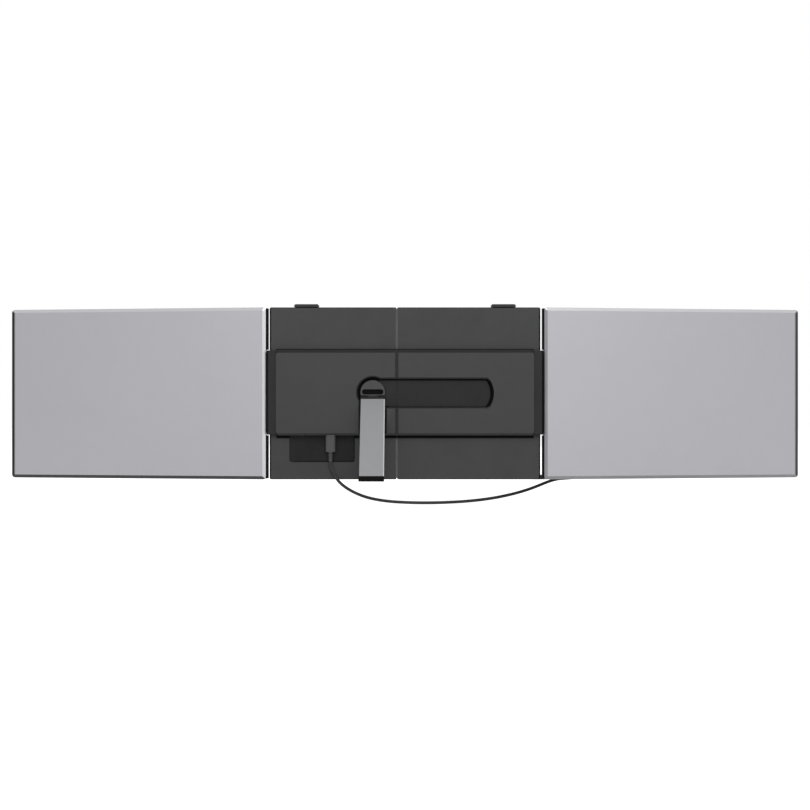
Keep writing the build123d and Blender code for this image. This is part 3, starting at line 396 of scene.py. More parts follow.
def new_group(name, inputs, outputs):
    """A group with named inputs (label: default) and outputs (label: kind), and its object coordinates."""
    group = bpy.data.node_groups.new(name, "ShaderNodeTree")
    for label, value in inputs.items():
        kind = "Color" if isinstance(value, tuple) else "Float"
        socket = group.interface.new_socket(name=label, in_out="INPUT", socket_type=f"NodeSocket{kind}")
        socket.default_value = value
    for label, kind in outputs.items():
        group.interface.new_socket(name=label, in_out="OUTPUT", socket_type=f"NodeSocket{kind}")
    given, result = group.nodes.new("NodeGroupInput").outputs, group.nodes.new("NodeGroupOutput")
    return group, given, result, node(group, "TexCoord").outputs["Object"]


# %% The grain groups
def moulded_grain_group():
    """Rounded pits between low ridges, as a spark-eroded mould leaves them."""
    group, given, result, place = new_group("moulded_grain", {"Scale": 1800.0}, {"Height": "Float"})
    pits = node(group, "TexVoronoi", {"Vector": place, "Scale": given["Scale"]}, feature="SMOOTH_F1")
    dust = noise(group, place, maths(group, "MULTIPLY", given["Scale"], 2.7), detail=2.0)
    half_dust = maths(group, "MULTIPLY", dust, 0.5)
    feed(group, result, {"Height": maths(group, "ADD", pits.outputs["Distance"], half_dust)})
    return group


def blasted_grain_group():
    """The very fine, even texture of bead-blasted metal."""
    group, given, result, place = new_group("blasted_grain", {"Scale": 4200.0}, {"Height": "Float"})
    feed(group, result, {"Height": noise(group, place, given["Scale"], detail=4.0, rough=0.65)})
    return group


def brushed_lines_group():
    """Long scratches along X, as belt-ground or rolled steel shows."""
    group, given, result, place = new_group(
        "brushed_lines", {"Scale": 900.0, "Stretch": 0.03}, {"Height": "Float"})
    squeeze = node(group, "CombineXYZ", {"X": given["Stretch"], "Y": 1.0, "Z": 1.0}).outputs["Vector"]
    scaled = node(group, "VectorMath", {0: place, 1: squeeze}, operation="MULTIPLY").outputs["Vector"]
    feed(group, result, {"Height": noise(group, scaled, given["Scale"], detail=4.0, rough=0.6)})
    return group


# %% The tone and wear groups
def tone_group():
    """A colour and a roughness that drift a little over the surface, as handled parts do."""
    group, given, result, place = new_group(
        "surface_tone",
        {"Color": (0.5, 0.5, 0.5, 1.0), "Second Color": (0.4, 0.4, 0.4, 1.0), "Patch Scale": 14.0,
         "Roughness Low": 0.4, "Roughness High": 0.5},
        {"Color": "Color", "Roughness": "Float"})
    broad = noise(group, place, given["Patch Scale"], detail=4.0, rough=0.55)
    finer_scale = maths(group, "MULTIPLY", given["Patch Scale"], 9.0)
    finer = noise(group, place, finer_scale, detail=5.0, rough=0.6)
    patches = maths(group, "MULTIPLY", map_range(group, broad, 0.32, 0.68), 0.7)
    smears = maths(group, "MULTIPLY", map_range(group, finer, 0.36, 0.66), 0.3)
    blend = maths(group, "ADD", patches, smears)
    feed(group, result, {
        "Color": mix_color(group, blend, given["Color"], given["Second Color"]),
        "Roughness": map_range(group, blend, 0.0, 1.0, given["Roughness Low"], given["Roughness High"])})
    return group


def edge_wear_group():
    """1 along rubbed edges and 0 elsewhere: the rounded normal leaves the flat one only near an edge."""
    group, given, result, place = new_group(
        "edge_wear", {"Width": 0.0006, "Breakup Scale": 160.0}, {"Mask": "Float"})
    rounded = node(group, "Bevel", {"Radius": given["Width"]}, samples=4).outputs["Normal"]
    flat = node(group, "NewGeometry").outputs["Normal"]
    likeness = node(group, "VectorMath", {0: rounded, 1: flat}, operation="DOT_PRODUCT").outputs["Value"]
    chips = noise(group, place, given["Breakup Scale"], detail=5.0, rough=0.6)
    near_edge = map_range(group, likeness, 0.995, 0.93)
    patchy = map_range(group, chips, 0.35, 0.62)
    feed(group, result, {"Mask": maths(group, "MULTIPLY", near_edge, patchy, clamp=True)})
    return group


GROUPS = {
    "moulded": moulded_grain_group(), "blasted": blasted_grain_group(), "tone": tone_group(),
    "wear": edge_wear_group(), "brushed": brushed_lines_group(),
}
print("node groups", sorted(group.name for group in bpy.data.node_groups))

# %% [markdown]
# ## Finishes
# Each finish is a Principled shader whose colour and roughness come from the tone group, with a grain for
# its bump and, where hands reach, a worn edge. Numbers that are the same all over, such as metallic or
# the coat, are set on the shader itself.

# %% The finish builder
def rgba(color):
    return (*color, 1.0)


def finish(name, color, second, roughness, grain, patch, metallic=0.0, coat=0.0, specular=0.5, worn=None,
           wear_width=0.0005):
    """A complete material; its grain is the kind, the scale, the depth in mm and the strength."""
    material = bpy.data.materials.new(name)
    material.use_nodes = True
    tree = material.node_tree
    tone = node(tree, "Group", node_tree=GROUPS["tone"])
    feed(tree, tone, {"Color": rgba(color), "Second Color": rgba(second), "Patch Scale": patch,
                      "Roughness Low": roughness[0], "Roughness High": roughness[1]})
    surface = tone.outputs["Color"]
    if worn is not None:
        wear = node(tree, "Group", node_tree=GROUPS["wear"])
        feed(tree, wear, {"Width": wear_width})
        surface = mix_color(tree, wear.outputs["Mask"], surface, rgba(worn))
    kind, scale, depth, strength = grain
    texture = node(tree, "Group", node_tree=GROUPS[kind])
    feed(tree, texture, {"Scale": scale})
    bump = node(tree, "Bump", {"Strength": strength, "Distance": depth * MM,
                               "Height": texture.outputs["Height"]})
    feed(tree, tree.nodes["Principled BSDF"], {
        "Base Color": surface, "Roughness": tone.outputs["Roughness"], "Metallic": metallic,
        "Coat Weight": coat, "Specular IOR Level": specular, "Normal": bump.outputs["Normal"]})
    return material


# %% The metals
# Each row holds the colour, the second colour, the roughness from and to, the grain, the scale of the
# patches, and what differs from the builder's own values.
RIM_GRAIN = ("blasted", 5200, 0.008, 0.16)
METALS = {
    "anodised_silver": ((0.377, 0.374, 0.396), (0.362, 0.359, 0.381), (0.4, 0.47),
        ("blasted", 5200, 0.012, 0.22), 5, {"metallic": 0.75}),
    # The four rim finishes are one metal in lit and shaded copies: painted highlight, painted half shade,
    # painted shade and painted deep shade.
    "rim_painted_highlight": ((0.52, 0.52, 0.535), (0.48, 0.48, 0.495), (0.28, 0.36), RIM_GRAIN, 12, {"metallic": 0.9}),
    "rim_painted_half_shade": ((0.215, 0.215, 0.225), (0.19, 0.19, 0.199), (0.28, 0.36), RIM_GRAIN, 12, {"metallic": 0.9}),
    "rim_painted_shade": ((0.058, 0.058, 0.0605), (0.048, 0.048, 0.05), (0.3, 0.38), RIM_GRAIN, 12,
        {"metallic": 0.8, "specular": 0.2}),
    "rim_painted_deep_shade": ((0.022, 0.022, 0.0235), (0.016, 0.016, 0.017), (0.3, 0.38), RIM_GRAIN, 12,
        {"metallic": 0.8, "specular": 0.2}),
    "leg_silver": ((0.312, 0.315, 0.329), (0.295, 0.298, 0.311), (0.42, 0.5),
        ("brushed", 3800, 0.01, 0.2), 16, {"metallic": 0.4}),
    # Painted highlight: the near-white finish of the leg's right chamfer.
    "leg_chamfer_highlight": ((0.9, 0.9, 0.915), (0.84, 0.84, 0.855), (0.3, 0.4),
        ("brushed", 3800, 0.008, 0.2), 30, {"metallic": 0.2}),
    "nickel": ((0.62, 0.61, 0.58), (0.55, 0.54, 0.51), (0.22, 0.34),
        ("brushed", 2400, 0.01, 0.3), 90, {"metallic": 1.0}),
    "rolled_steel": ((0.52, 0.52, 0.53), (0.43, 0.43, 0.44), (0.3, 0.42),
        ("brushed", 1400, 0.02, 0.4), 30, {"metallic": 1.0}),
    "black_steel": ((0.035, 0.035, 0.037), (0.028, 0.028, 0.03), (0.35, 0.45),
        ("blasted", 2600, 0.015, 0.3), 30, {"metallic": 0.6, "worn": (0.3, 0.3, 0.31)}),
    "screw_black": ((0.045, 0.045, 0.048), (0.03, 0.03, 0.033), (0.3, 0.4), ("brushed", 3200, 0.01, 0.3), 120,
        {"metallic": 0.8, "worn": (0.35, 0.35, 0.36), "wear_width": 0.0002}),
    "spring_steel": ((0.5, 0.5, 0.5), (0.42, 0.42, 0.43), (0.25, 0.35),
        ("brushed", 3000, 0.01, 0.3), 90, {"metallic": 1.0}),
}

# %% The plastics
MOULD_GRAIN = ("moulded", 2600, 0.01, 0.2)
PLASTICS = {
    "plate_black": ((0.0395, 0.0395, 0.0405), (0.034, 0.034, 0.035), (0.52, 0.62),
        ("moulded", 2300, 0.02, 0.32), 7, {"specular": 0.3}),
    "bar_black": ((0.036, 0.036, 0.0369), (0.0325, 0.0325, 0.0334), (0.48, 0.57),
        ("moulded", 2300, 0.018, 0.28), 8, {"specular": 0.3}),
    # Painted shade on roundings, slopes and the leg's edges; also the plain black of the hinge block and the
    # head's knuckle.
    "black_and_edge_shade": ((0.014, 0.014, 0.0145), (0.011, 0.011, 0.0115), (0.42, 0.52), MOULD_GRAIN, 26,
        {"worn": (0.03, 0.03, 0.031), "wear_width": 0.0002, "specular": 0.22}),
    # Painted highlight on the seam's edges; also the grey of the plate sleeve.
    "grey_and_seam_highlight": ((0.16, 0.16, 0.162), (0.12, 0.12, 0.122), (0.4, 0.5), MOULD_GRAIN, 40, {}),
    "bay_black": ((0.011, 0.011, 0.0115), (0.009, 0.009, 0.0095), (0.6, 0.7),
        ("moulded", 1500, 0.03, 0.4), 24, {"specular": 0.18}),
    # The slot floor's black; also painted shade on the chamfer round the recess.
    "slot_black_and_rim_shade": ((0.01, 0.01, 0.0104), (0.0086, 0.0086, 0.009), (0.5, 0.6),
        ("moulded", 2300, 0.02, 0.3), 18, {"specular": 0.22}),
    # The black of the trim strips; also painted shade and painted shadow on edges, in the recess and round
    # the bar's foot.
    "deep_black_and_shade": ((0.0042, 0.0042, 0.0044), (0.0034, 0.0034, 0.0036), (0.6, 0.7),
        ("moulded", 2300, 0.015, 0.25), 18, {"specular": 0.05}),
    "arm_black": ((0.014, 0.014, 0.0145), (0.0115, 0.0115, 0.012), (0.42, 0.52),
        ("moulded", 2600, 0.015, 0.25), 22,
        {"worn": (0.03, 0.03, 0.031), "wear_width": 0.0003, "specular": 0.2}),
    "bezel_black": ((0.0085, 0.0085, 0.009), (0.007, 0.007, 0.0075), (0.42, 0.5),
        ("moulded", 2800, 0.012, 0.2), 9,
        {"worn": (0.025, 0.025, 0.026), "wear_width": 0.0003, "specular": 0.2}),
    "liner_black": ((0.021, 0.021, 0.022), (0.017, 0.017, 0.018), (0.55, 0.66),
        ("moulded", 1700, 0.03, 0.4), 8, {"specular": 0.3}),
    "head_grey": ((0.0385, 0.0385, 0.0396), (0.038, 0.038, 0.0392), (0.42, 0.52),
        ("moulded", 2600, 0.02, 0.35), 60,
        {"worn": (0.1, 0.1, 0.105), "wear_width": 0.0003, "specular": 0.35}),
    "hook_black": ((0.017, 0.017, 0.0175), (0.0135, 0.0135, 0.014), (0.42, 0.52),
        ("moulded", 2400, 0.018, 0.3), 30,
        {"worn": (0.035, 0.035, 0.036), "wear_width": 0.0003, "specular": 0.25}),
    "plug_grey": ((0.074, 0.074, 0.076), (0.066, 0.066, 0.068), (0.55, 0.66),
        ("blasted", 2600, 0.02, 0.35), 50, {"worn": (0.1, 0.1, 0.105), "specular": 0.3}),
    "board_green": ((0.012, 0.075, 0.035), (0.01, 0.06, 0.03), (0.35, 0.5),
        ("blasted", 700, 0.03, 0.4), 120, {"coat": 0.3}),
    "acrylic_white": ((0.72, 0.73, 0.74), (0.68, 0.69, 0.7), (0.12, 0.2),
        ("blasted", 1200, 0.02, 0.2), 20, {}),
}

# %% Rubber and glass
SOFT_AND_GLASS = {
    "rubber_black": ((0.009, 0.009, 0.0093), (0.012, 0.012, 0.0124), (0.72, 0.85),
        ("blasted", 1900, 0.04, 0.5), 60, {"specular": 0.15}),
    "foot_rubber": ((0.004, 0.004, 0.0041), (0.0055, 0.0055, 0.0056), (0.7, 0.8),
        ("blasted", 1900, 0.03, 0.4), 60, {"specular": 0.06}),
    "jacket_black": ((0.058, 0.058, 0.0595), (0.05, 0.05, 0.0515), (0.7, 0.8),
        ("blasted", 2200, 0.02, 0.35), 40, {"specular": 0.08}),
    "screen_black": ((0.006, 0.0065, 0.008), (0.0075, 0.008, 0.01), (0.2, 0.26),
        ("blasted", 5200, 0.006, 0.12), 6, {"coat": 0.15}),
    "picture_area": ((0.011, 0.012, 0.015), (0.0125, 0.0135, 0.017), (0.24, 0.3),
        ("blasted", 6500, 0.006, 0.15), 5, {"coat": 0.1}),
}
FINISH = {}
for table in (METALS, PLASTICS, SOFT_AND_GLASS):
    for name, (*row, differs) in table.items():
        FINISH[name] = finish(name, *row, **differs)
print("finishes", len(FINISH))

# %% [markdown]
# ## The wings
# A wing is a thin display: a metal tray behind, a black frame in front, and a strip of black trim beside the
# hinge. It is modelled in line with the plates, where every number is simple, and then turned to its
# resting angle about its own hinge. The tray's sloped rim is one inset with depth, which keeps the slope
# equal on all four sides.

# %% Wing sizes
WING_W, WING_H = 332.5, 213.0
WING_BACK, WING_KNEE, WING_RIM, WING_FRONT = -8.0, -6.2, -2.6, -0.5
WING_CORNER, WING_SEGMENTS = 4.0, 10
WING_SLOPE, WING_WALL, RIM_HALF_SHADE_LINE = 4.0, 1.2, 1.1
WING_REST = 10.0
WING_INNER = {LEFT: 170.34, RIGHT: 169.57}
ARM_MID_Z = 1.0
SCREEN_W, SCREEN_H, SCREEN_TOP = 309.4, 174.0, 96.5
FLAT = 0.97  # a normal that is this straight belongs to a flat back


def turn_about(piece, pivot, degrees, axis):
    """Turn a piece about a point in the frame and put the turn into its mesh."""
    pivot = Vector(pivot)
    turn = Matrix.Rotation(math.radians(degrees), 4, axis)
    piece.matrix_world = Matrix.Translation(pivot) @ turn @ Matrix.Translation(-pivot)
    settle(piece)


def open_wing(side, piece):
    """Turn a wing piece to its resting angle and let it ride on the wing."""
    name = SIDE_NAME[side]
    turn_about(piece, JOINTS[f"{name}_wing_hinge"]["pos_m"], side * WING_REST, "Z")
    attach(piece, f"{name}_wing")


def wing_span(side, inset):
    inner = WING_INNER[side]
    return across(side, inner + inset, inner + WING_W - inset)


# %% The silver shells
# Painted light on the rim: each rim face takes a highlight or a shade copy by the wing edge it is nearest to.
SHELL_FINISHES = ("anodised_silver", "rim_painted_highlight", "rim_painted_half_shade", "rim_painted_shade", "rim_painted_deep_shade")
RIM_LIGHT_AND_SHADE_SLOTS = {
    LEFT: {"inner": 1, "top": 1, "outer": 4, "bottom": 3},
    RIGHT: {"inner": 2, "top": 1, "outer": 3, "bottom": 2},
}
OUTER_HALF_SHADE_LINE_SLOT, INNER_FLANK_SHADE_SLOT, FLANK = 2, 4, 0.87


def nearest_edge(side, middle):
    """The wing's edge that a point is nearest to, and how far off it is."""
    reach = side * middle.x - WING_INNER[side]
    distances = {"inner": reach, "outer": WING_W - reach, "top": WING_H / 2 - middle.z,
                 "bottom": WING_H / 2 + middle.z}
    edge = min(distances, key=distances.get)
    return edge, distances[edge]


def paint_rim_light_and_shade(side, shell):
    """Painted highlight on the cut edges above and beside the hinge, painted shade on the flanks below and at
    the outer end.
    """
    for face in shell.data.polygons:
        middle = face.center / MM
        edge, distance = nearest_edge(side, middle)
        if face.normal.y > -FLAT and middle.y < WING_RIM + 0.1:
            flank = side == RIGHT and edge == "inner" and face.normal.y > -FLANK
            face.material_index = INNER_FLANK_SHADE_SLOT if flank else RIM_LIGHT_AND_SHADE_SLOTS[side][edge]
        elif edge == "outer" and face.normal.y < -FLAT and distance < WING_SLOPE + RIM_HALF_SHADE_LINE:
            face.material_index = OUTER_HALF_SHADE_LINE_SLOT


def silver_shell(side):
    """The metal tray with its sloped rim, hollow from the front."""
    half = WING_H / 2
    shell = slab(f"{SIDE_NAME[side]}_silver_shell", wing_span(side, 0), (WING_KNEE, WING_RIM), (-half, half),
                 WING_CORNER, WING_SEGMENTS)
    select_faces(shell, lambda middle, normal: normal.y < -ALONG)
    bpy.ops.mesh.inset(thickness=WING_SLOPE * MM, depth=(WING_KNEE - WING_BACK) * MM)
    # The bisect marks off a strip along the outer edge, painted as a half-shade line.
    painted_line_x = side * (WING_INNER[side] + WING_W - WING_SLOPE - RIM_HALF_SHADE_LINE)
    bpy.ops.mesh.bisect(plane_co=(painted_line_x * MM, 0, 0), plane_no=(1, 0, 0))
    done()
    select_faces(shell, lambda middle, normal: normal.y > ALONG)
    bpy.ops.mesh.inset(thickness=WING_WALL * MM)
    push(0, WING_KNEE - WING_RIM, 0)
    done()
    break_edges(shell, 0.35, 3, smooth=20)
    paint(shell, *SHELL_FINISHES)
    paint_rim_light_and_shade(side, shell)
    open_wing(side, shell)
    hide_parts(f"{SIDE_NAME[side]}_wing_shell")
    report(shell)


for side in SIDES:
    silver_shell(side)

# %% [markdown]
# The frame round the screen is a skin with a window and a low ring behind it. The cut-outs are made with
# other closed shapes, as a mould would core them out, and the trim strips are joined on last.

# %% The black frames
FRAME_WALL, FRAME_SKIN, CUT_FROM, CUT_TO = 2.0, -1.3, -3.5, 1.0
POCKET_CORNER, WINDOW_GAP, WINDOW_CORNER = 2.0, 0.4, 0.8
NOTCH_REACH, NOTCH_HALF_H = 173.8, 30.6
STRIP_EDGE, STRIP_BACK, STRIP_CORNER = 167.95, -5.8, 0.6
STRIP_START, STRIP_END_GAP, LINK_START, LINK_END = 53.0, 1.2, 0.7, 0.5
GLASS_MARGIN, GLASS_BORDER = 2.0, 3.2
PICTURE_MIN_AREA = 0.04


def screen_limits(side, extra):
    middle = WING_INNER[side] + WING_W / 2
    x = across(side, middle - SCREEN_W / 2 - extra, middle + SCREEN_W / 2 + extra)
    return x, (SCREEN_TOP - SCREEN_H - extra, SCREEN_TOP + extra)


def black_frame(side):
    """The bezel with its window, hinge notch and trim strips."""
    half, inner = WING_H / 2, WING_INNER[side]
    bezel = slab(f"{SIDE_NAME[side]}_screen_frame", wing_span(side, 0), (WING_RIM, WING_FRONT), (-half, half),
                 WING_CORNER, WING_SEGMENTS)
    cut(bezel, slab("pocket", wing_span(side, FRAME_WALL), (CUT_FROM, FRAME_SKIN),
                    (-half + FRAME_WALL, half - FRAME_WALL), POCKET_CORNER))
    window_x, window_z = screen_limits(side, WINDOW_GAP)
    cut(bezel, slab("window", window_x, (CUT_FROM, CUT_TO), window_z, WINDOW_CORNER, 4))
    cut(bezel, block("notch", across(side, inner - 2, NOTCH_REACH), (CUT_FROM, CUT_TO),
                     around(ARM_MID_Z, NOTCH_HALF_H)))
    for low, high in ((ARM_MID_Z + STRIP_START, half - STRIP_END_GAP),
                      (-half + STRIP_END_GAP, ARM_MID_Z - STRIP_START)):
        strip = slab("strip", across(side, STRIP_EDGE, inner - 0.01), (STRIP_BACK, WING_FRONT), (low, high),
                     STRIP_CORNER, 4)
        link_x = across(side, STRIP_EDGE + LINK_START, inner + LINK_END)
        add(strip, block("link", link_x, (WING_RIM, WING_FRONT), (low + 1, high - 1)))
        add(bezel, strip)
    break_edges(bezel, 0.18)
    paint(bezel, "bezel_black", "deep_black_and_shade")
    repaint(bezel, 1, lambda middle, normal: side * middle.x < inner + 0.6 and middle.y < WING_FRONT - 0.3)
    open_wing(side, bezel)
    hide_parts(f"{SIDE_NAME[side]}_wing_bezel")
    report(bezel)


def screen_panel(side):
    """The glass, with the dark border that surrounds the picture area."""
    x, z = screen_limits(side, GLASS_MARGIN)
    panel = block(f"{SIDE_NAME[side]}_screen_glass", x, (WING_RIM, FRAME_SKIN), z)
    select_faces(panel, lambda middle, normal: normal.y > ALONG)
    bpy.ops.mesh.inset(thickness=GLASS_BORDER * MM)
    done()
    paint(panel, "screen_black", "picture_area")
    for face in panel.data.polygons:
        if face.normal.y > ALONG and face.area > PICTURE_MIN_AREA:
            face.material_index = 1
    open_wing(side, panel)
    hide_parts(f"{SIDE_NAME[side]}_wing_panel")
    report(panel)


for side in SIDES:
    black_frame(side)
    screen_panel(side)

# %% [markdown]
# ## The centre plates
# Two thin trays meet at a seam a little left of the middle. Their corners are rounded at the seam too, which
# leaves the small notch seen at its top and bottom. The left plate has a sloped bay for the plugs. Its
# cutter is a box whose inner face is made smaller and pushed sideways.

# %% Plate sizes
PLATE_HALF_W, PLATE_HALF_H = 167.6, 106.5
PLATE_BACK, LINER_BACK = -5.0, -1.8
PLATE_SKIN, PLATE_RIM, PLATE_CORNER, PLATE_EDGE, PLATE_SHADE_LINE = 1.3, 1.5, 2.2, 1.4, 1.9
SEAM_X, SEAM_GAP = -10.15, 0.4
HOOK_U, HOOK_GAP = 122.0, 13.3
BAY_X, BAY_Z, BAY_CORNER = (-143.4, -62.1), (-85.2, -51.1), 3.0
BAY_FLOOR_X, BAY_FLOOR_Z, BAY_FLOOR = (-136.2, -63.3), (-83.4, -51.1), -2.8
BAY_WALL_X, BAY_WALL_Z = (-146, -60.3), (-88, -49)


def half_span(side, outer):
    """The X limits of one half, from the seam to its outer edge."""
    edge = SEAM_X + side * SEAM_GAP / 2
    return (-outer, edge) if side == LEFT else (edge, outer)


def bay_cutter():
    """A box whose floor is smaller than its mouth."""
    cutter = slab("bay", BAY_X, (PLATE_BACK - 0.02, BAY_FLOOR), BAY_Z, BAY_CORNER, 6)
    x, z = (sum(limits) / 2 * MM for limits in (BAY_X, BAY_Z))
    floor_x, floor_z = (sum(limits) / 2 * MM for limits in (BAY_FLOOR_X, BAY_FLOOR_Z))
    ratio = [(b[1] - b[0]) / (a[1] - a[0]) for a, b in ((BAY_X, BAY_FLOOR_X), (BAY_Z, BAY_FLOOR_Z))]
    select_faces(cutter, lambda middle, normal: normal.y > ALONG)
    bpy.ops.transform.resize(value=(ratio[0], 1, ratio[1]), center_override=(x, 0, z))
    bpy.ops.transform.translate(value=(floor_x - x, 0, floor_z - z))
    done()
    return cutter


# %% The plate shells
def plate_tray(side):
    """One half's back shell."""
    name = SIDE_NAME[side]
    tray = slab(f"{name}_plate_tray", half_span(side, PLATE_HALF_W), (PLATE_BACK, LINER_BACK),
                (-PLATE_HALF_H, PLATE_HALF_H), PLATE_CORNER)
    round_edges(tray, lambda middle, run: middle.y < PLATE_BACK + 0.1, PLATE_EDGE)
    # The bisect marks off a strip along the outer edge for the painted shade line.
    painted_line_x = PLATE_HALF_W - PLATE_SHADE_LINE
    select_faces(tray, lambda middle, normal: normal.y < -0.99)
    bpy.ops.mesh.bisect(plane_co=(side * painted_line_x * MM, 0, 0), plane_no=(1, 0, 0))
    done()
    inner_h, skin = PLATE_HALF_H - PLATE_RIM, PLATE_BACK + PLATE_SKIN
    hollow = block("hollow", across(side, SEAM_X * side - 2, PLATE_HALF_W - PLATE_RIM),
                   (skin, LINER_BACK + 1), (-inner_h, inner_h))
    if side == LEFT:
        cut(hollow, block("surround", BAY_WALL_X, (PLATE_BACK, 0), BAY_WALL_Z))
    cut(tray, hollow)
    if side == LEFT:
        cut(tray, bay_cutter())
    cut(tray, block("hook_gap", around(side * HOOK_U, HOOK_GAP), (skin, 0), (inner_h - 1, PLATE_HALF_H + 1)))
    break_edges(tray, 0.2)
    paint_tray(tray, painted_line_x)
    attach(tray, f"{name}_half")
    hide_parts(f"{name}_plate_shell")
    report(tray)


def paint_tray(tray, painted_line_x):
    """Painted shade on the roundings and as a black line along the outer edge, a painted highlight on the
    seam's edges, and a black bay.
    """
    paint(tray, "plate_black", "bay_black", "black_and_edge_shade", "grey_and_seam_highlight", "deep_black_and_shade")
    # Painted shade on the roundings and as a line at the outer edge, top and bottom; painted highlight on the
    # seam's edges.
    repaint(tray, 2, lambda middle, normal: normal.y > -0.95 and middle.y < LINER_BACK)
    repaint(tray, 4, lambda middle, normal: middle.y < LINER_BACK and (
        abs(middle.x) > painted_line_x or abs(middle.z) > PLATE_HALF_H - PLATE_EDGE and normal.y > -0.95))
    repaint(tray, 3, lambda middle, normal: abs(middle.x - SEAM_X) < 1.0 and middle.y < PLATE_BACK + 1)
    repaint(tray, 1, lambda middle, normal: middle.y > PLATE_BACK + 0.3
            and BAY_X[0] - 0.1 < middle.x < BAY_X[1] + 0.1 and BAY_Z[0] - 0.1 < middle.z < BAY_Z[1] + 3)


for side in SIDES:
    plate_tray(side)

# %% [markdown]
# ## The raised bar
# The bar is one form cut in two at the seam, so that its lines run straight through. A solid is shaped first:
# its back face is pushed out and made lower, which slopes the long sides. The round recess and the slot are
# cut and their rim is chamfered. Only then is it hollowed, with the walls of the recess kept.

# %% Bar sizes
BAR_HALF_W, BAR_LOW, BAR_HIGH = 159.0, -51.9, 54.0
BAR_FACE, BAR_SLOPE_Y, BAR_SLOPE_HIGH, BAR_SLOPE_LOW = -16.0, 3.5, 4.0, 2.8
BAR_CORNER, BAR_WALL = 3.0, 1.6
STAND_X, STAND_Z, RECESS_R = -39.8, 1.0, 18.5
SLOT_LOW, SLOT_HIGH, SLOT_MID, SLOT_END, SLOT_END_R = -17.1, 17.3, 0.1, 107.3, 28.0
SLOT_FLOOR, SLOT_WALL, SLOT_BEVEL = -10.0, 1.2, 2.3
LEG_HALF_W, LEG_ROOM = 15.0, 0.4
FAR = 40  # past everything that a cutter has to clear


def bar_form(name, wall):
    """The bar's outer form, or the same form drawn in by a wall."""
    knee = BAR_FACE + BAR_SLOPE_Y + wall * 0.6
    low, high, end = BAR_LOW + wall, BAR_HIGH - wall, BAR_HALF_W - wall
    front = PLATE_BACK + (4.0 if wall else 0.0)
    form = slab(name, (-end, end), (knee, front), (low, high), BAR_CORNER, 5)
    select_faces(form, lambda middle, normal: normal.y < -ALONG)
    push(0, BAR_FACE + wall - knee, 0)
    face_low, face_high = low + BAR_SLOPE_LOW, high - BAR_SLOPE_HIGH
    shrink = (face_high - face_low) / (high - low)
    still_z = (face_high - shrink * high) / (1 - shrink)
    bpy.ops.transform.resize(value=(1, 1, shrink), center_override=(0, 0, still_z * MM))
    done()
    return form


def from_axis(middle):
    """How far a point is from the axis that the stand swivels about."""
    return math.hypot(middle.x - STAND_X, middle.z - STAND_Z)


def stand_rod(name, radius, y, sides=72):
    """A round bar on the axis that the stand swivels about."""
    return rod(name, radius, (STAND_X, y[0], STAND_Z), (STAND_X, y[1], STAND_Z), sides)


def recess_form(name, grow, y, end=SLOT_END):
    """The round recess, the slot and the channel for the hanging leg, as one closed shape."""
    past_y = (y[0] - 1, y[1] + 1)
    end_x = end - SLOT_END_R
    slot = block(name, (STAND_X, end + grow), y, (SLOT_LOW - grow, SLOT_HIGH + grow))
    arc = rod("arc", SLOT_END_R + grow, (end_x, past_y[0], SLOT_MID), (end_x, past_y[1], SLOT_MID), 96)
    add(arc, block("run", (STAND_X - 1, end_x + 5), past_y, (-FAR, FAR)))
    combine(slot, arc, "INTERSECT")
    add(slot, stand_rod("round", RECESS_R + grow, y))
    add(slot, block("channel", around(STAND_X, LEG_HALF_W + LEG_ROOM + grow), y, (BAR_LOW - 4, STAND_Z)))
    return slot


# %% The painted shadow gutter round the slot's floor
SHADOW_GUTTER_W, SHADOW_GUTTER_LOW_W, SHADOW_GUTTER_END_W, SHADOW_GUTTER_DEPTH, HEAD_SHADOW_INNER_R = 1.4, 0.5, 2.0, 0.6, 15.3


def shadow_gutter_form():
    """A narrow ring along the recess's wall, later painted black as the wall's shadow on the floor, wider at
    the slot's end and round the head.
    """
    y = (SLOT_FLOOR - 0.5, SLOT_FLOOR + SHADOW_GUTTER_DEPTH)
    shadow_gutter = recess_form("shadow_gutter", 0.0, y)
    y = (y[0] - 1, y[1] + 1)
    island = recess_form("island", -SHADOW_GUTTER_W, y, SLOT_END - SHADOW_GUTTER_END_W + SHADOW_GUTTER_W)
    ring = stand_rod("ring", RECESS_R + 1, (y[0] - 1, y[1] + 1))
    cut(ring, block("right_side", (STAND_X + 8, STAND_X + FAR), (-FAR, 20), (-FAR, FAR)))
    cut(ring, block("lower_side", around(STAND_X, FAR), (-FAR, 20), (-FAR, STAND_Z - 8)))
    cut(island, ring)
    add(island, block("lower_fill", (STAND_X + 20, SLOT_END - 8), y, (SLOT_LOW + SHADOW_GUTTER_LOW_W, 0)))
    add(island, stand_rod("middle", HEAD_SHADOW_INNER_R, y))
    return cut(shadow_gutter, island)


# %% The port holes
PORT_Y = -9.5
PLUG_X, SPARE_PORT_X, HDMI_X, BUTTON_X = -92.0, -75.0, -108.0, (-134.0, -127.0, -120.0)
HDMI_HOLE, USB_HOLE, USB_CORNER, BUTTON_HOLE_R = (6.1, 2.1), (4.8, 1.9), 1.85, 1.75


def port_holes():
    """Cutters for the openings in the bar's lower wall."""
    z = (BAR_LOW - 1, BAR_LOW + BAR_WALL + 0.5)
    holes = [block("hdmi_hole", around(HDMI_X, HDMI_HOLE[0]), around(PORT_Y, HDMI_HOLE[1]), z)]
    for x in (PLUG_X, SPARE_PORT_X):
        hole = block("usb_hole", around(x, USB_HOLE[0]), around(PORT_Y, USB_HOLE[1]), z)
        round_edges(hole, lambda middle, run: abs(run.z) > ALONG, USB_CORNER, 6)
        holes.append(hole)
    for x in BUTTON_X:
        holes.append(rod("button_hole", BUTTON_HOLE_R, (x, PORT_Y, z[0]), (x, PORT_Y, z[1]), 32))
    return holes


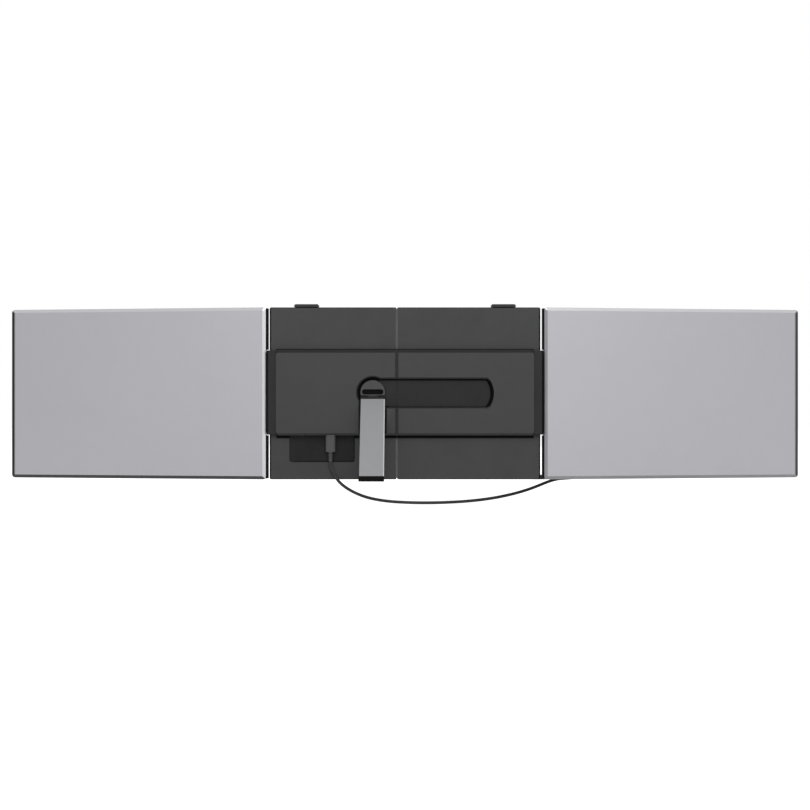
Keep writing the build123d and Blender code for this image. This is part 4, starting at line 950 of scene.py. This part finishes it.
# %% The whole bar
GROOVE_HALF_W, GROOVE_FLOOR = 2.15, -15.0


def on_recess_rim(middle):
    """Is a point on the outline of the recess, the slot or the channel?"""
    in_slot = middle.x > STAND_X and SLOT_LOW + 0.3 < middle.z < SLOT_HIGH - 0.3
    on_circle = abs(from_axis(middle) - RECESS_R) < 0.4 and not (in_slot and middle.x < SLOT_END - 6)
    on_slot = middle.x > STAND_X + 10 and (
        min(abs(middle.z - SLOT_LOW), abs(middle.z - SLOT_HIGH)) < 0.05 or middle.x > SLOT_END - 6)
    channel = abs(middle.x - STAND_X) < LEG_HALF_W + 1 and middle.z < STAND_Z
    return (on_circle or on_slot or channel) and middle.x < SLOT_END + 0.1


def on_face_rim(middle, run):
    """Is an edge part of the recess's rim in the bar's back face?"""
    on_face = middle.y < BAR_FACE + 0.01 and abs(run.y) < 0.1 and abs(middle.x) < BAR_HALF_W - 5
    between = BAR_LOW + BAR_SLOPE_LOW + 0.5 < middle.z < STAND_Z + RECESS_R + 0.5
    return on_face and between and on_recess_rim(middle)


def whole_bar():
    """The bar before it is split: slopes, recess with its chamfer, hollow inside, groove and port holes."""
    bar = bar_form("whole_bar", 0.0)
    cut(bar, recess_form("recess", 0.0, (BAR_FACE - 3, SLOT_FLOOR)))
    round_edges(bar, on_face_rim, SLOT_BEVEL, 2)
    cavity = bar_form("cavity", BAR_WALL)
    cut(cavity, recess_form("walls", SLOT_WALL, (BAR_FACE - 1, SLOT_FLOOR + SLOT_WALL)))
    cut(bar, cavity)
    # The gutter is cut only to carry the painted shadow along the slot's walls.
    cut(bar, shadow_gutter_form())
    for z in ((SLOT_HIGH + SLOT_BEVEL - 0.3, BAR_HIGH + 1), (BAR_LOW - 1, SLOT_LOW - SLOT_BEVEL + 0.3)):
        cut(bar, block("groove", around(SEAM_X, GROOVE_HALF_W), (BAR_FACE - 1, GROOVE_FLOOR), z))
    for hole in port_holes():
        cut(bar, hole)
    return bar


# %% The two bar covers
FLANGE_Y, FLANGE_HALF_H = -6.6, 51


def in_recess(middle, normal):
    """Is a face part of the recess's walls, floor or painted shadow gutter, or of the slope that ends the
    slot?
    """
    inside = BAR_FACE + SLOT_BEVEL - 0.1 < middle.y < SLOT_FLOOR + SHADOW_GUTTER_DEPTH + 0.1
    over_stand = abs(middle.x - STAND_X) < RECESS_R + 0.5 and middle.z < STAND_Z + RECESS_R + 0.5
    over_slot = STAND_X < middle.x < SLOT_END + 0.5 and SLOT_LOW - 0.5 < middle.z < SLOT_HIGH + 0.5
    end_slope = SLOT_END - 4 < middle.x < SLOT_END + SLOT_BEVEL and normal.x < -0.3 and abs(middle.z) < 18
    return (inside and (over_stand or over_slot)) or end_slope


def paint_bar(half):
    """Painted shade on the slopes and edges, a lower slope left as light as the face, and painted shade in
    the recess, with a lighter painted-shade rim and a dark floor.
    """
    paint(half, "bar_black", "slot_black_and_rim_shade", "black_and_edge_shade", "deep_black_and_shade")
    # Painted shade on every slope and edge; the lower slope then goes back to the face's black.
    repaint(half, 2, lambda middle, normal: normal.y > -FLAT or middle.y > BAR_FACE + 0.5)
    repaint(half, 0, lambda middle, normal: normal.z < -0.3 and normal.y < -0.3 and middle.z < BAR_LOW + 3)
    # Painted shade on the chamfer round the recess.
    repaint(half, 1, lambda middle, normal: -FLAT < normal.y < -0.2 and middle.y < BAR_FACE + SLOT_BEVEL
            and abs(from_axis(middle) - RECESS_R - 1) < 1.5)
    # Painted shade and painted shadow: the recess's walls, its gutter and the slope that ends the slot; the
    # floor then goes back to the slot's black.
    repaint(half, 3, in_recess)
    repaint(half, 1, lambda middle, normal: in_recess(middle, normal) and normal.y < -FLAT
            and middle.y < SLOT_FLOOR + 0.1)


def bar_half(side, bar):
    """One half of the bar."""
    name = SIDE_NAME[side]
    half = put_in_scene(f"{name}_bar_shell", bar.data.copy())
    half.data.name = half.name
    combine(half, block("keep", half_span(side, BAR_HALF_W + 3), (BAR_FACE - 3, 5), (-70, 70)), "INTERSECT")
    wall_x = across(side, BAR_HALF_W - BAR_WALL - 1, BAR_HALF_W + 1)
    cut(half, block("flange_notch", wall_x, (FLANGE_Y, PLATE_BACK + 1), around(ARM_MID_Z, FLANGE_HALF_H)))
    break_edges(half, 0.22)
    paint_bar(half)
    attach(half, f"{name}_half")
    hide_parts(f"{name}_bar_cover")
    report(half)


bar = whole_bar()
for side in SIDES:
    bar_half(side, bar)
bpy.data.objects.remove(bar)

# %% [markdown]
# A flat black frame on the plate round the bar's foot is painted shadow: it shows as the dark line that the
# bar casts there, broader below than above. It is cut in two at the seam like its neighbours.

# %% The painted shadow round the bar's foot
SHADOW_STRIP_HIGH_W, SHADOW_STRIP_LOW_W, SHADOW_STRIP_T, SHADOW_STRIP_CORNER = 1.0, 3.6, 0.9, 0.4


def foot_shadow_strip(side):
    name = SIDE_NAME[side]
    shadow_strip = slab(f"{name}_foot_shadow_strip", half_span(side, BAR_HALF_W + 0.1),
                  (PLATE_BACK - SHADOW_STRIP_T, PLATE_BACK - 0.02),
                  (BAR_LOW - SHADOW_STRIP_LOW_W, BAR_HIGH + SHADOW_STRIP_HIGH_W), SHADOW_STRIP_CORNER, 3)
    cut(shadow_strip, block("bar_foot", half_span(side, BAR_HALF_W + 20), (-8, 0), (BAR_LOW, BAR_HIGH)))
    if side == LEFT:
        cut(shadow_strip, block("bay_gap", (BAY_X[0] + 1, BAY_X[1] - 1), (-8, 0), (BAR_LOW - 5, BAR_LOW + 1)))
    break_edges(shadow_strip, 0.3, 3)
    # Painted shadow: the whole frame in deep black.
    paint(shadow_strip, "deep_black_and_shade")
    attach(shadow_strip, f"{name}_half")
    report(shadow_strip)


for side in SIDES:
    foot_shadow_strip(side)

# %% [markdown]
# ## Arms and hooks
# The arm caps are rounded towards the wing, so that the wing's edge swings past them. A hook is a flat stem
# with a broad head that reaches over the lid and a lip that hangs down in front of it.

# %% The arm caps
CAP_HALF_H, CAP_NEAR, CAP_END, CAP_BACK = 52.0, BAR_HALF_W + 0.15, 171.3, -13.4
CAP_FRONT, SKIRT_END, SKIRT_FRONT, CAP_WALL = -8.5, 169.1, -6.3, 1.5
CAP_ROUND, CAP_CHAMFER = 3.6, 0.9


def arm_cap(side):
    name = SIDE_NAME[side]
    low, high = around(ARM_MID_Z, CAP_HALF_H)
    cap = block(f"{name}_arm_cap", across(side, CAP_NEAR, CAP_END), (CAP_BACK, CAP_FRONT), (low, high))
    round_edges(cap, lambda middle, run: abs(run.z) > ALONG and abs(middle.x) > CAP_END - 0.1
                and middle.y < CAP_BACK + 0.1, CAP_ROUND, 8)
    round_edges(cap, lambda middle, run: abs(run.z) < 0.1 and middle.y < -9
                and abs(middle.z - ARM_MID_Z) > CAP_HALF_H - 0.1, CAP_CHAMFER, 2)
    add(cap, block("skirt", across(side, CAP_NEAR, SKIRT_END), (CAP_FRONT - 0.1, SKIRT_FRONT), (low, high)))
    cut(cap, block("inside", across(side, CAP_NEAR + 1.4, SKIRT_END - CAP_WALL), (CAP_BACK + CAP_WALL, 0),
                   (low + CAP_WALL, high - CAP_WALL)))
    break_edges(cap, 0.25)
    paint(cap, "arm_black", "deep_black_and_shade")
    # Painted shade on the outer half of the rounding towards the wing.
    repaint(cap, 1, lambda middle, normal: side * normal.x > 0.45 and side * middle.x > CAP_END - 2.5)
    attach(cap, f"{name}_half")
    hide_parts(f"{name}_arm_cover")
    report(cap)


# %% The lid hooks
HOOK_HALF_W, HOOK_RISE, HOOK_BACK, HOOK_CORNER = 15.25, 4.0, -4.6, 2.2
LID_GAP, LIP_T, LIP_HALF_W, LIP_LOW, LIP_CORNER = 7.0, 2.0, 13, 99.0, 2.0
STEM_Y, STEM_LOW = (-3.4, -2.1), 60


def lid_hook(side):
    name = SIDE_NAME[side]
    middle_x = side * HOOK_U
    low, high = PLATE_HALF_H + 0.3, PLATE_HALF_H + HOOK_RISE
    hook = block(f"{name}_hook", around(middle_x, HOOK_HALF_W), (HOOK_BACK, LID_GAP + LIP_T), (low, high))
    round_edges(hook, lambda middle, run: abs(run.y) > ALONG and middle.z > high - 0.1, HOOK_CORNER, 6)
    lip = block("lip", around(middle_x, LIP_HALF_W), (LID_GAP, LID_GAP + LIP_T), (LIP_LOW, low + 1))
    round_edges(lip, lambda middle, run: abs(run.y) > ALONG and middle.z < LIP_LOW + 0.1, LIP_CORNER, 6)
    add(hook, lip)
    add(hook, block("stem", around(middle_x, LIP_HALF_W), STEM_Y, (STEM_LOW, low + 1)))
    break_edges(hook, 0.35, 3)
    paint(hook, "hook_black")
    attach(hook, f"{name}_hook")
    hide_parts(f"{name}_lid_hook")
    report(hook)


for side in SIDES:
    arm_cap(side)
    lid_hook(side)

# %% [markdown]
# ## The kickstand
# The leg is modelled hanging flat and then turned about its pin to the angle at which it props the screens.
# A dark hinge block with two knuckles holds the silver blade, and a rubber foot closes its end.

# %% Stand sizes
LEG_BACK, LEG_FRONT = -15.6, -11.6
LEG_LENGTH, FOOT_LENGTH, HINGE_BLOCK = 135.2, 5.6, 4.4
LEG_X = around(STAND_X, LEG_HALF_W)
TILT_Y, TILT_Z, TILT_REST = -13.6, -5.0, 43.0
KNUCKLE_R, KNUCKLE_HALF_W, KNUCKLE_ROOM = 2.0, 6.0, 6.4
SLIT_HALF_W, SLIT_HALF_H, SLIT_DEPTH, SLIT_RISE = 13.2, 3.2, 3.0, 0.75
HUB_R, HUB_T = 6.0, 1.4


def prop(piece):
    """Turn a leg piece to its resting angle and let it ride on the leg."""
    turn_about(piece, JOINTS["stand_leg_tilt"]["pos_m"], -TILT_REST, "X")
    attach(piece, "stand_leg")


def pin_rod(name, radius, x):
    """A round bar on the axis that the leg tilts about."""
    return rod(name, radius, (x[0], TILT_Y, TILT_Z), (x[1], TILT_Y, TILT_Z), 40)


# %% The swivelling head
def stand_head():
    base, slit_mid = TILT_Z + KNUCKLE_R + 0.5, STAND_Z + SLIT_RISE
    back, front = LEG_BACK, SLOT_FLOOR - 0.2
    head = stand_rod("stand_head", LEG_HALF_W, (front, back), 96)
    combine(head, block("upper", around(STAND_X, 20), (back - 1, front + 1), (base, FAR)), "INTERSECT")
    cut(head, slab("slit", around(STAND_X, SLIT_HALF_W), (back - 1, back + SLIT_DEPTH),
                   around(slit_mid, SLIT_HALF_H), SLIT_HALF_H - 0.05, 10))
    knuckle_x = around(STAND_X, KNUCKLE_HALF_W)
    knuckle = pin_rod("knuckle", KNUCKLE_R, knuckle_x)
    add(knuckle, block("neck", knuckle_x, around(TILT_Y, KNUCKLE_R - 0.01), (TILT_Z, base + 0.5)))
    add(head, knuckle)
    add(head, stand_rod("hub", HUB_R, (SLOT_FLOOR - 0.4, SLOT_FLOOR + HUB_T), 64))
    break_edges(head, 0.6, 4)
    paint(head, "head_grey", "deep_black_and_shade", "black_and_edge_shade")
    # Painted shade inside the slit.
    repaint(head, 1, lambda middle, normal: back + 0.3 < middle.y < back + SLIT_DEPTH + 0.2
            and abs(middle.z - slit_mid) < SLIT_HALF_H + 0.2 and abs(middle.x - STAND_X) < SLIT_HALF_W + 0.2)
    repaint(head, 2, lambda middle, normal: middle.z < base + 0.3)
    # Painted shade on the head's round side within the recess: the black crescent round it.
    repaint(head, 1, lambda middle, normal: middle.y > back + 0.8 and normal.y > -0.5
            and from_axis(middle) > LEG_HALF_W - 0.5)
    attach(head, "stand_swivel")
    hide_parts("swivel_head")
    report(head)


# %% The leg
LEG_CHAMFER, FOOT_ROUND, FOOT_SWELL = 1.1, 1.6, 0.3
GROOVES, GROOVE_PITCH, GROOVE_CUT, GROOVE_DEPTH = 5, 5.6, 0.4, 0.5


def hinge_block():
    """The dark end of the leg: a bar with a knuckle at each side of the head's own."""
    piece = block("leg_knuckles", LEG_X, (LEG_BACK, LEG_FRONT), (TILT_Z - HINGE_BLOCK, TILT_Z))
    gap_x = around(STAND_X, KNUCKLE_ROOM)
    cut(piece, block("gap", gap_x, (LEG_BACK - 1, LEG_FRONT + 1), (TILT_Z - 2.5, TILT_Z + 1)))
    for x in ((LEG_X[0], gap_x[0]), (gap_x[1], LEG_X[1])):
        add(piece, pin_rod("ear", KNUCKLE_R + 0.001, x))
    break_edges(piece, 0.3)
    paint(piece, "black_and_edge_shade")
    prop(piece)
    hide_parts("leg_hinge")
    report(piece)


def leg_blade():
    """The silver blade: its sides and a narrow left chamfer painted in shade, and a wide right chamfer
    painted as a highlight.
    """
    low, top = TILT_Z - LEG_LENGTH + FOOT_LENGTH, TILT_Z - HINGE_BLOCK
    blade = block("leg_blade", LEG_X, (LEG_BACK, LEG_FRONT), (low, top))
    for side, size in ((RIGHT, LEG_CHAMFER), (LEFT, LEG_CHAMFER / 2)):
        round_edges(blade, lambda middle, run: abs(run.z) > ALONG
                    and side * (middle.x - STAND_X) > 0, size, 1)
    break_edges(blade, 0.12)
    paint(blade, "leg_silver", "leg_chamfer_highlight", "black_and_edge_shade")
    # Painted highlight on the right chamfer; painted shade on the sides and the left chamfer.
    repaint(blade, 1, lambda middle, normal: 0.2 < abs(normal.y) < 0.95 and normal.x > 0.2)
    repaint(blade, 2, lambda middle, normal: abs(normal.x) > 0.9 or normal.x < -0.2)
    prop(blade)
    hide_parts("stand_leg")
    report(blade)


def leg_shoe():
    """The rubber foot, a little fuller than the blade, with grooves under its end."""
    low, top = TILT_Z - LEG_LENGTH, TILT_Z - LEG_LENGTH + FOOT_LENGTH
    shoe = block("leg_shoe", (LEG_X[0] - FOOT_SWELL / 2, LEG_X[1] + FOOT_SWELL / 2),
                 (LEG_BACK - FOOT_SWELL, LEG_FRONT + FOOT_SWELL), (low, top))
    round_edges(shoe, lambda middle, run: abs(run.x) > ALONG and middle.z < low + 0.1, FOOT_ROUND, 6)
    for index in range(GROOVES):
        x = STAND_X + (index - GROOVES // 2) * GROOVE_PITCH
        cut(shoe, block("groove", around(x, GROOVE_CUT), (LEG_BACK - 2, LEG_FRONT + 2),
                        (low - 1, low + GROOVE_DEPTH)))
    break_edges(shoe, 0.3, 3)
    paint(shoe, "foot_rubber")
    prop(shoe)
    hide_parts("leg_foot")
    report(shoe)


stand_head()
hinge_block()
leg_blade()
leg_shoe()

# %% [markdown]
# ## The plugs
# Both ends of the lead have the same moulding: a flat rounded body, a thin metal plug in front and a ribbed
# sleeve behind, which keeps the cable from kinking. One function models it, pointing up at the hub's port,
# and the second one is then moved to the laptop's end.

# %% The plug moulding
PLUG_W, PLUG_T, PLUG_LENGTH, PLUG_CORNER, PLUG_ROUND = 12.0, 6.2, 20.3, 2.6, 1.0
PLUG_TOP = BAR_LOW - 0.25
SLEEVE_RINGS, SLEEVE_RADII, SLEEVE_CORE, SLEEVE_OUTER, SLEEVE_CUT = 5, (2.25, 2.85), 2.05, 4.0, 0.7
METAL_HALF_W, METAL_HALF_T, METAL_CORNER, METAL_REACH = 4.1, 1.2, 1.15, 6.4
METAL_WALL, METAL_DEPTH = 0.35, 5.0
LAPTOP_PLUG_TOP = (169.7, 155.0, -110.3)


def plug_rod(name, radius, low, high):
    return rod(name, radius, (PLUG_X, PORT_Y, low), (PLUG_X, PORT_Y, high), 40)


def plug_moulding(name):
    """The moulding with its mouth up, at the hub's own port."""
    low, sleeve_low = PLUG_TOP - PLUG_LENGTH, CORD_ROUTE[0][2]
    body = block(name, around(PLUG_X, PLUG_W / 2), around(PORT_Y, PLUG_T / 2), (low, PLUG_TOP))
    round_edges(body, lambda middle, run: abs(run.z) > ALONG, PLUG_CORNER, 8)
    round_edges(body, lambda middle, run: abs(run.z) < 0.1 and middle.z < low + 0.1, PLUG_ROUND)
    add(body, cone("sleeve", SLEEVE_RADII, (PLUG_X, PORT_Y, sleeve_low), (PLUG_X, PORT_Y, low + 0.3), 40))
    pitch = (low - sleeve_low) / (SLEEVE_RINGS + 1)
    for index in range(SLEEVE_RINGS):
        z = sleeve_low + pitch * (index + 0.8)
        ring = plug_rod("ring", SLEEVE_OUTER, z, z + SLEEVE_CUT)
        cut(body, cut(ring, plug_rod("core", SLEEVE_CORE, z - 1, z + 2)))
    break_edges(body, 0.2)
    paint(body, "plug_grey")
    report(body)
    return body


def metal_plug(name):
    """The thin nickel shell, open at its mouth."""
    shell = block(name, around(PLUG_X, METAL_HALF_W), around(PORT_Y, METAL_HALF_T),
                  (PLUG_TOP - 0.2, BAR_LOW + METAL_REACH))
    round_edges(shell, lambda middle, run: abs(run.z) > ALONG, METAL_CORNER, 8)
    select_faces(shell, lambda middle, normal: normal.z > ALONG)
    bpy.ops.mesh.inset(thickness=METAL_WALL * MM)
    push(0, 0, -METAL_DEPTH)
    done()
    break_edges(shell, 0.08)
    paint(shell, "nickel")
    report(shell)
    return shell


def to_laptop_end(piece):
    """Move a plug piece from the hub's port to the lead's far end, mouth towards -X."""
    here, there = Vector((PLUG_X, PORT_Y, PLUG_TOP)), Vector(LAPTOP_PLUG_TOP)
    turn = Matrix(((0, 0, -1), (1, 0, 0), (0, -1, 0))).to_4x4()
    piece.matrix_world = Matrix.Translation(there * MM) @ turn @ Matrix.Translation(-here * MM)
    settle(piece)


hub_moulding, laptop_moulding = plug_moulding("hub_plug_moulding"), plug_moulding("laptop_plug_moulding")
hub_shell, laptop_shell = metal_plug("hub_plug_shell"), metal_plug("laptop_plug_shell")
for piece in (laptop_moulding, laptop_shell):
    to_laptop_end(piece)
for moulding, stands_for in ((hub_moulding, "hub_plug"), (laptop_moulding, "laptop_plug")):
    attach(moulding, "left_half")
    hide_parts(stands_for)
for shell in (hub_shell, laptop_shell):
    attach(shell, "left_half")
    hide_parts("plug_shells")

# %% The lead's place in the frame
paint(link_cord, "jacket_black")
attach(link_cord, "left_half")
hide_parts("link_cord")

# %% [markdown]
# ## The return springs
# Two long springs pull the halves together. The wire follows a helix worked out turn by turn.

# %% The springs
SPRING_Y, SPRING_Z = -6.85, (-23.6, 23.6)
SPRING_R, SPRING_WIRE, SPRING_PITCH = 1.3, 0.6, 2.4
COIL_X, TAB_X, COIL_LEAD = (-24.0, 24.0), (-30.0, 62.0), 1.0
TURN_POINTS, SPRING_ROUNDNESS = 12, 2


def return_spring(index, z):
    turns = (COIL_X[1] - COIL_X[0]) / SPRING_PITCH
    points = [(TAB_X[0], SPRING_Y, z), (COIL_X[0] - COIL_LEAD, SPRING_Y, z)]
    for step in range(int(turns * TURN_POINTS) + 1):
        angle = 2 * math.pi * step / TURN_POINTS
        x = COIL_X[0] + SPRING_PITCH * step / TURN_POINTS
        points.append((x, SPRING_Y + SPRING_R * math.cos(angle), z + SPRING_R * math.sin(angle)))
    points += [(COIL_X[1] + COIL_LEAD, SPRING_Y, z), (TAB_X[1], SPRING_Y, z)]
    piece, _spline = wire(f"return_spring_{index}", "POLY", points, SPRING_WIRE, SPRING_ROUNDNESS)
    pick(piece)
    bpy.ops.object.convert(target="MESH")
    piece = bpy.context.object
    bpy.ops.object.shade_smooth()
    paint(piece, "spring_steel")
    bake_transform(piece)
    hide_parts("return_springs")
    report(piece)


for spring_index, spring_z in enumerate(SPRING_Z, start=1):
    return_spring(spring_index, spring_z)

# %% [markdown]
# ## Finishes for the pieces that keep their frame shape
# The solids from the frame that already have the right shape only need their finish.

# %% Painting the kept pieces
KEPT_PAIRS = {
    "rubber_black": ["lid_pads", "hook_grip", "wing_bumpers"],
    "liner_black": ["front_liner"],
    "screw_black": ["liner_screws", "wing_screws"],
    "black_steel": ["arm_bracket", "wing_hinge_leaf"],
    "rolled_steel": ["hinge_shaft", "friction_washers"],
    "acrylic_white": ["wing_light_guide"],
    "board_green": ["wing_driver_board"],
}
KEPT_SINGLES = {
    "grey_and_seam_highlight": ["plate_sleeve"],
    "slot_black_and_rim_shade": ["seam_sleeves"],
    "rolled_steel": ["slide_rails", "swivel_retainer"],
    "hook_black": ["rail_guides", "power_button", "plus_button", "minus_button"],
    "board_green": ["main_board"],
    "nickel": ["usb_c_sockets", "mini_hdmi_socket"],
    "black_steel": ["tilt_pin"],
}
for table, prefixes in ((KEPT_PAIRS, ("left_", "right_")), (KEPT_SINGLES, ("",))):
    for look, pieces in table.items():
        for name in pieces:
            for prefix in prefixes:
                paint(frame["nodes"][prefix + name], look)
        print(look, "on", pieces)

# %% [markdown]
# ## Floor, light and background
# The object hangs on a laptop in use, so the floor lies just under its lowest point, the sagging lead. The
# world is plain and even. Two large soft lamps above the camera give the faces their slow gradients, and a
# third one lights the side with the screens.

# %% Floor and world
WHITE = (1.0, 1.0, 1.0, 1.0)
FLOOR_SIZE, FLOOR_DROP, FLOOR_GREY, FLOOR_GLOW = 14.0, 0.0004, (0.75, 0.75, 0.75, 1.0), 0.7
WORLD_LEVEL = 0.45


def camera_like(tree):
    """1 for rays from the camera, a mirror-like surface or glass."""
    path = node(tree, "LightPath").outputs
    total = maths(tree, "ADD", path["Is Camera Ray"], path["Is Glossy Ray"], clamp=True)
    return maths(tree, "ADD", total, path["Is Transmission Ray"], clamp=True)


def studio_floor(height):
    deselect_all()
    bpy.ops.mesh.primitive_plane_add(size=FLOOR_SIZE, location=(0, 0, height))
    floor = as_made("studio_floor")
    material = bpy.data.materials.new("floor_white")
    material.use_nodes = True
    tree = material.node_tree
    feed(tree, tree.nodes["Principled BSDF"], {
        "Base Color": FLOOR_GREY, "Roughness": 0.9, "Specular IOR Level": 0.1, "Emission Color": WHITE,
        "Emission Strength": maths(tree, "MULTIPLY", camera_like(tree), FLOOR_GLOW)})
    floor.data.materials.append(material)
    print("floor at", round(height, 4))


def studio_world(level):
    world = bpy.data.worlds.new("studio")
    bpy.context.scene.world = world
    world.use_nodes = True
    tree = world.node_tree
    strength = map_range(tree, camera_like(tree), 0.0, 1.0, level, 1.0)
    feed(tree, tree.nodes["Background"], {"Color": WHITE, "Strength": strength})


studio_floor(cad_box[0].z - FLOOR_DROP)
studio_world(WORLD_LEVEL)

# %% Lamps
LAMPS = {  # place, size and power
    "key_lamp": ((0.4, -2.4, 1.5), 1.6, 29.0),
    "front_lamp": ((-0.3, -3.0, 1.2), 2.0, 15.0),
    "user_side_lamp": ((0.4, 2.4, 1.7), 2.0, 24.0),
}


def soft_lamp(name, place, size, power):
    """A square area lamp that looks at the middle of the object."""
    data = bpy.data.lights.new(name, "AREA")
    data.shape = "SQUARE"
    data.size = size
    data.energy = power
    lamp = put_in_scene(name, data)
    lamp.location = place
    lamp.rotation_euler = (-Vector(place)).to_track_quat("-Z", "Y").to_euler()
    print(name, power, "W")


for name, values in LAMPS.items():
    soft_lamp(name, *values)

# %% [markdown]
# ## Closing
# The colour view is set to Standard.

# %% Closing
import json

bpy.context.scene.view_settings.view_transform = "Standard"
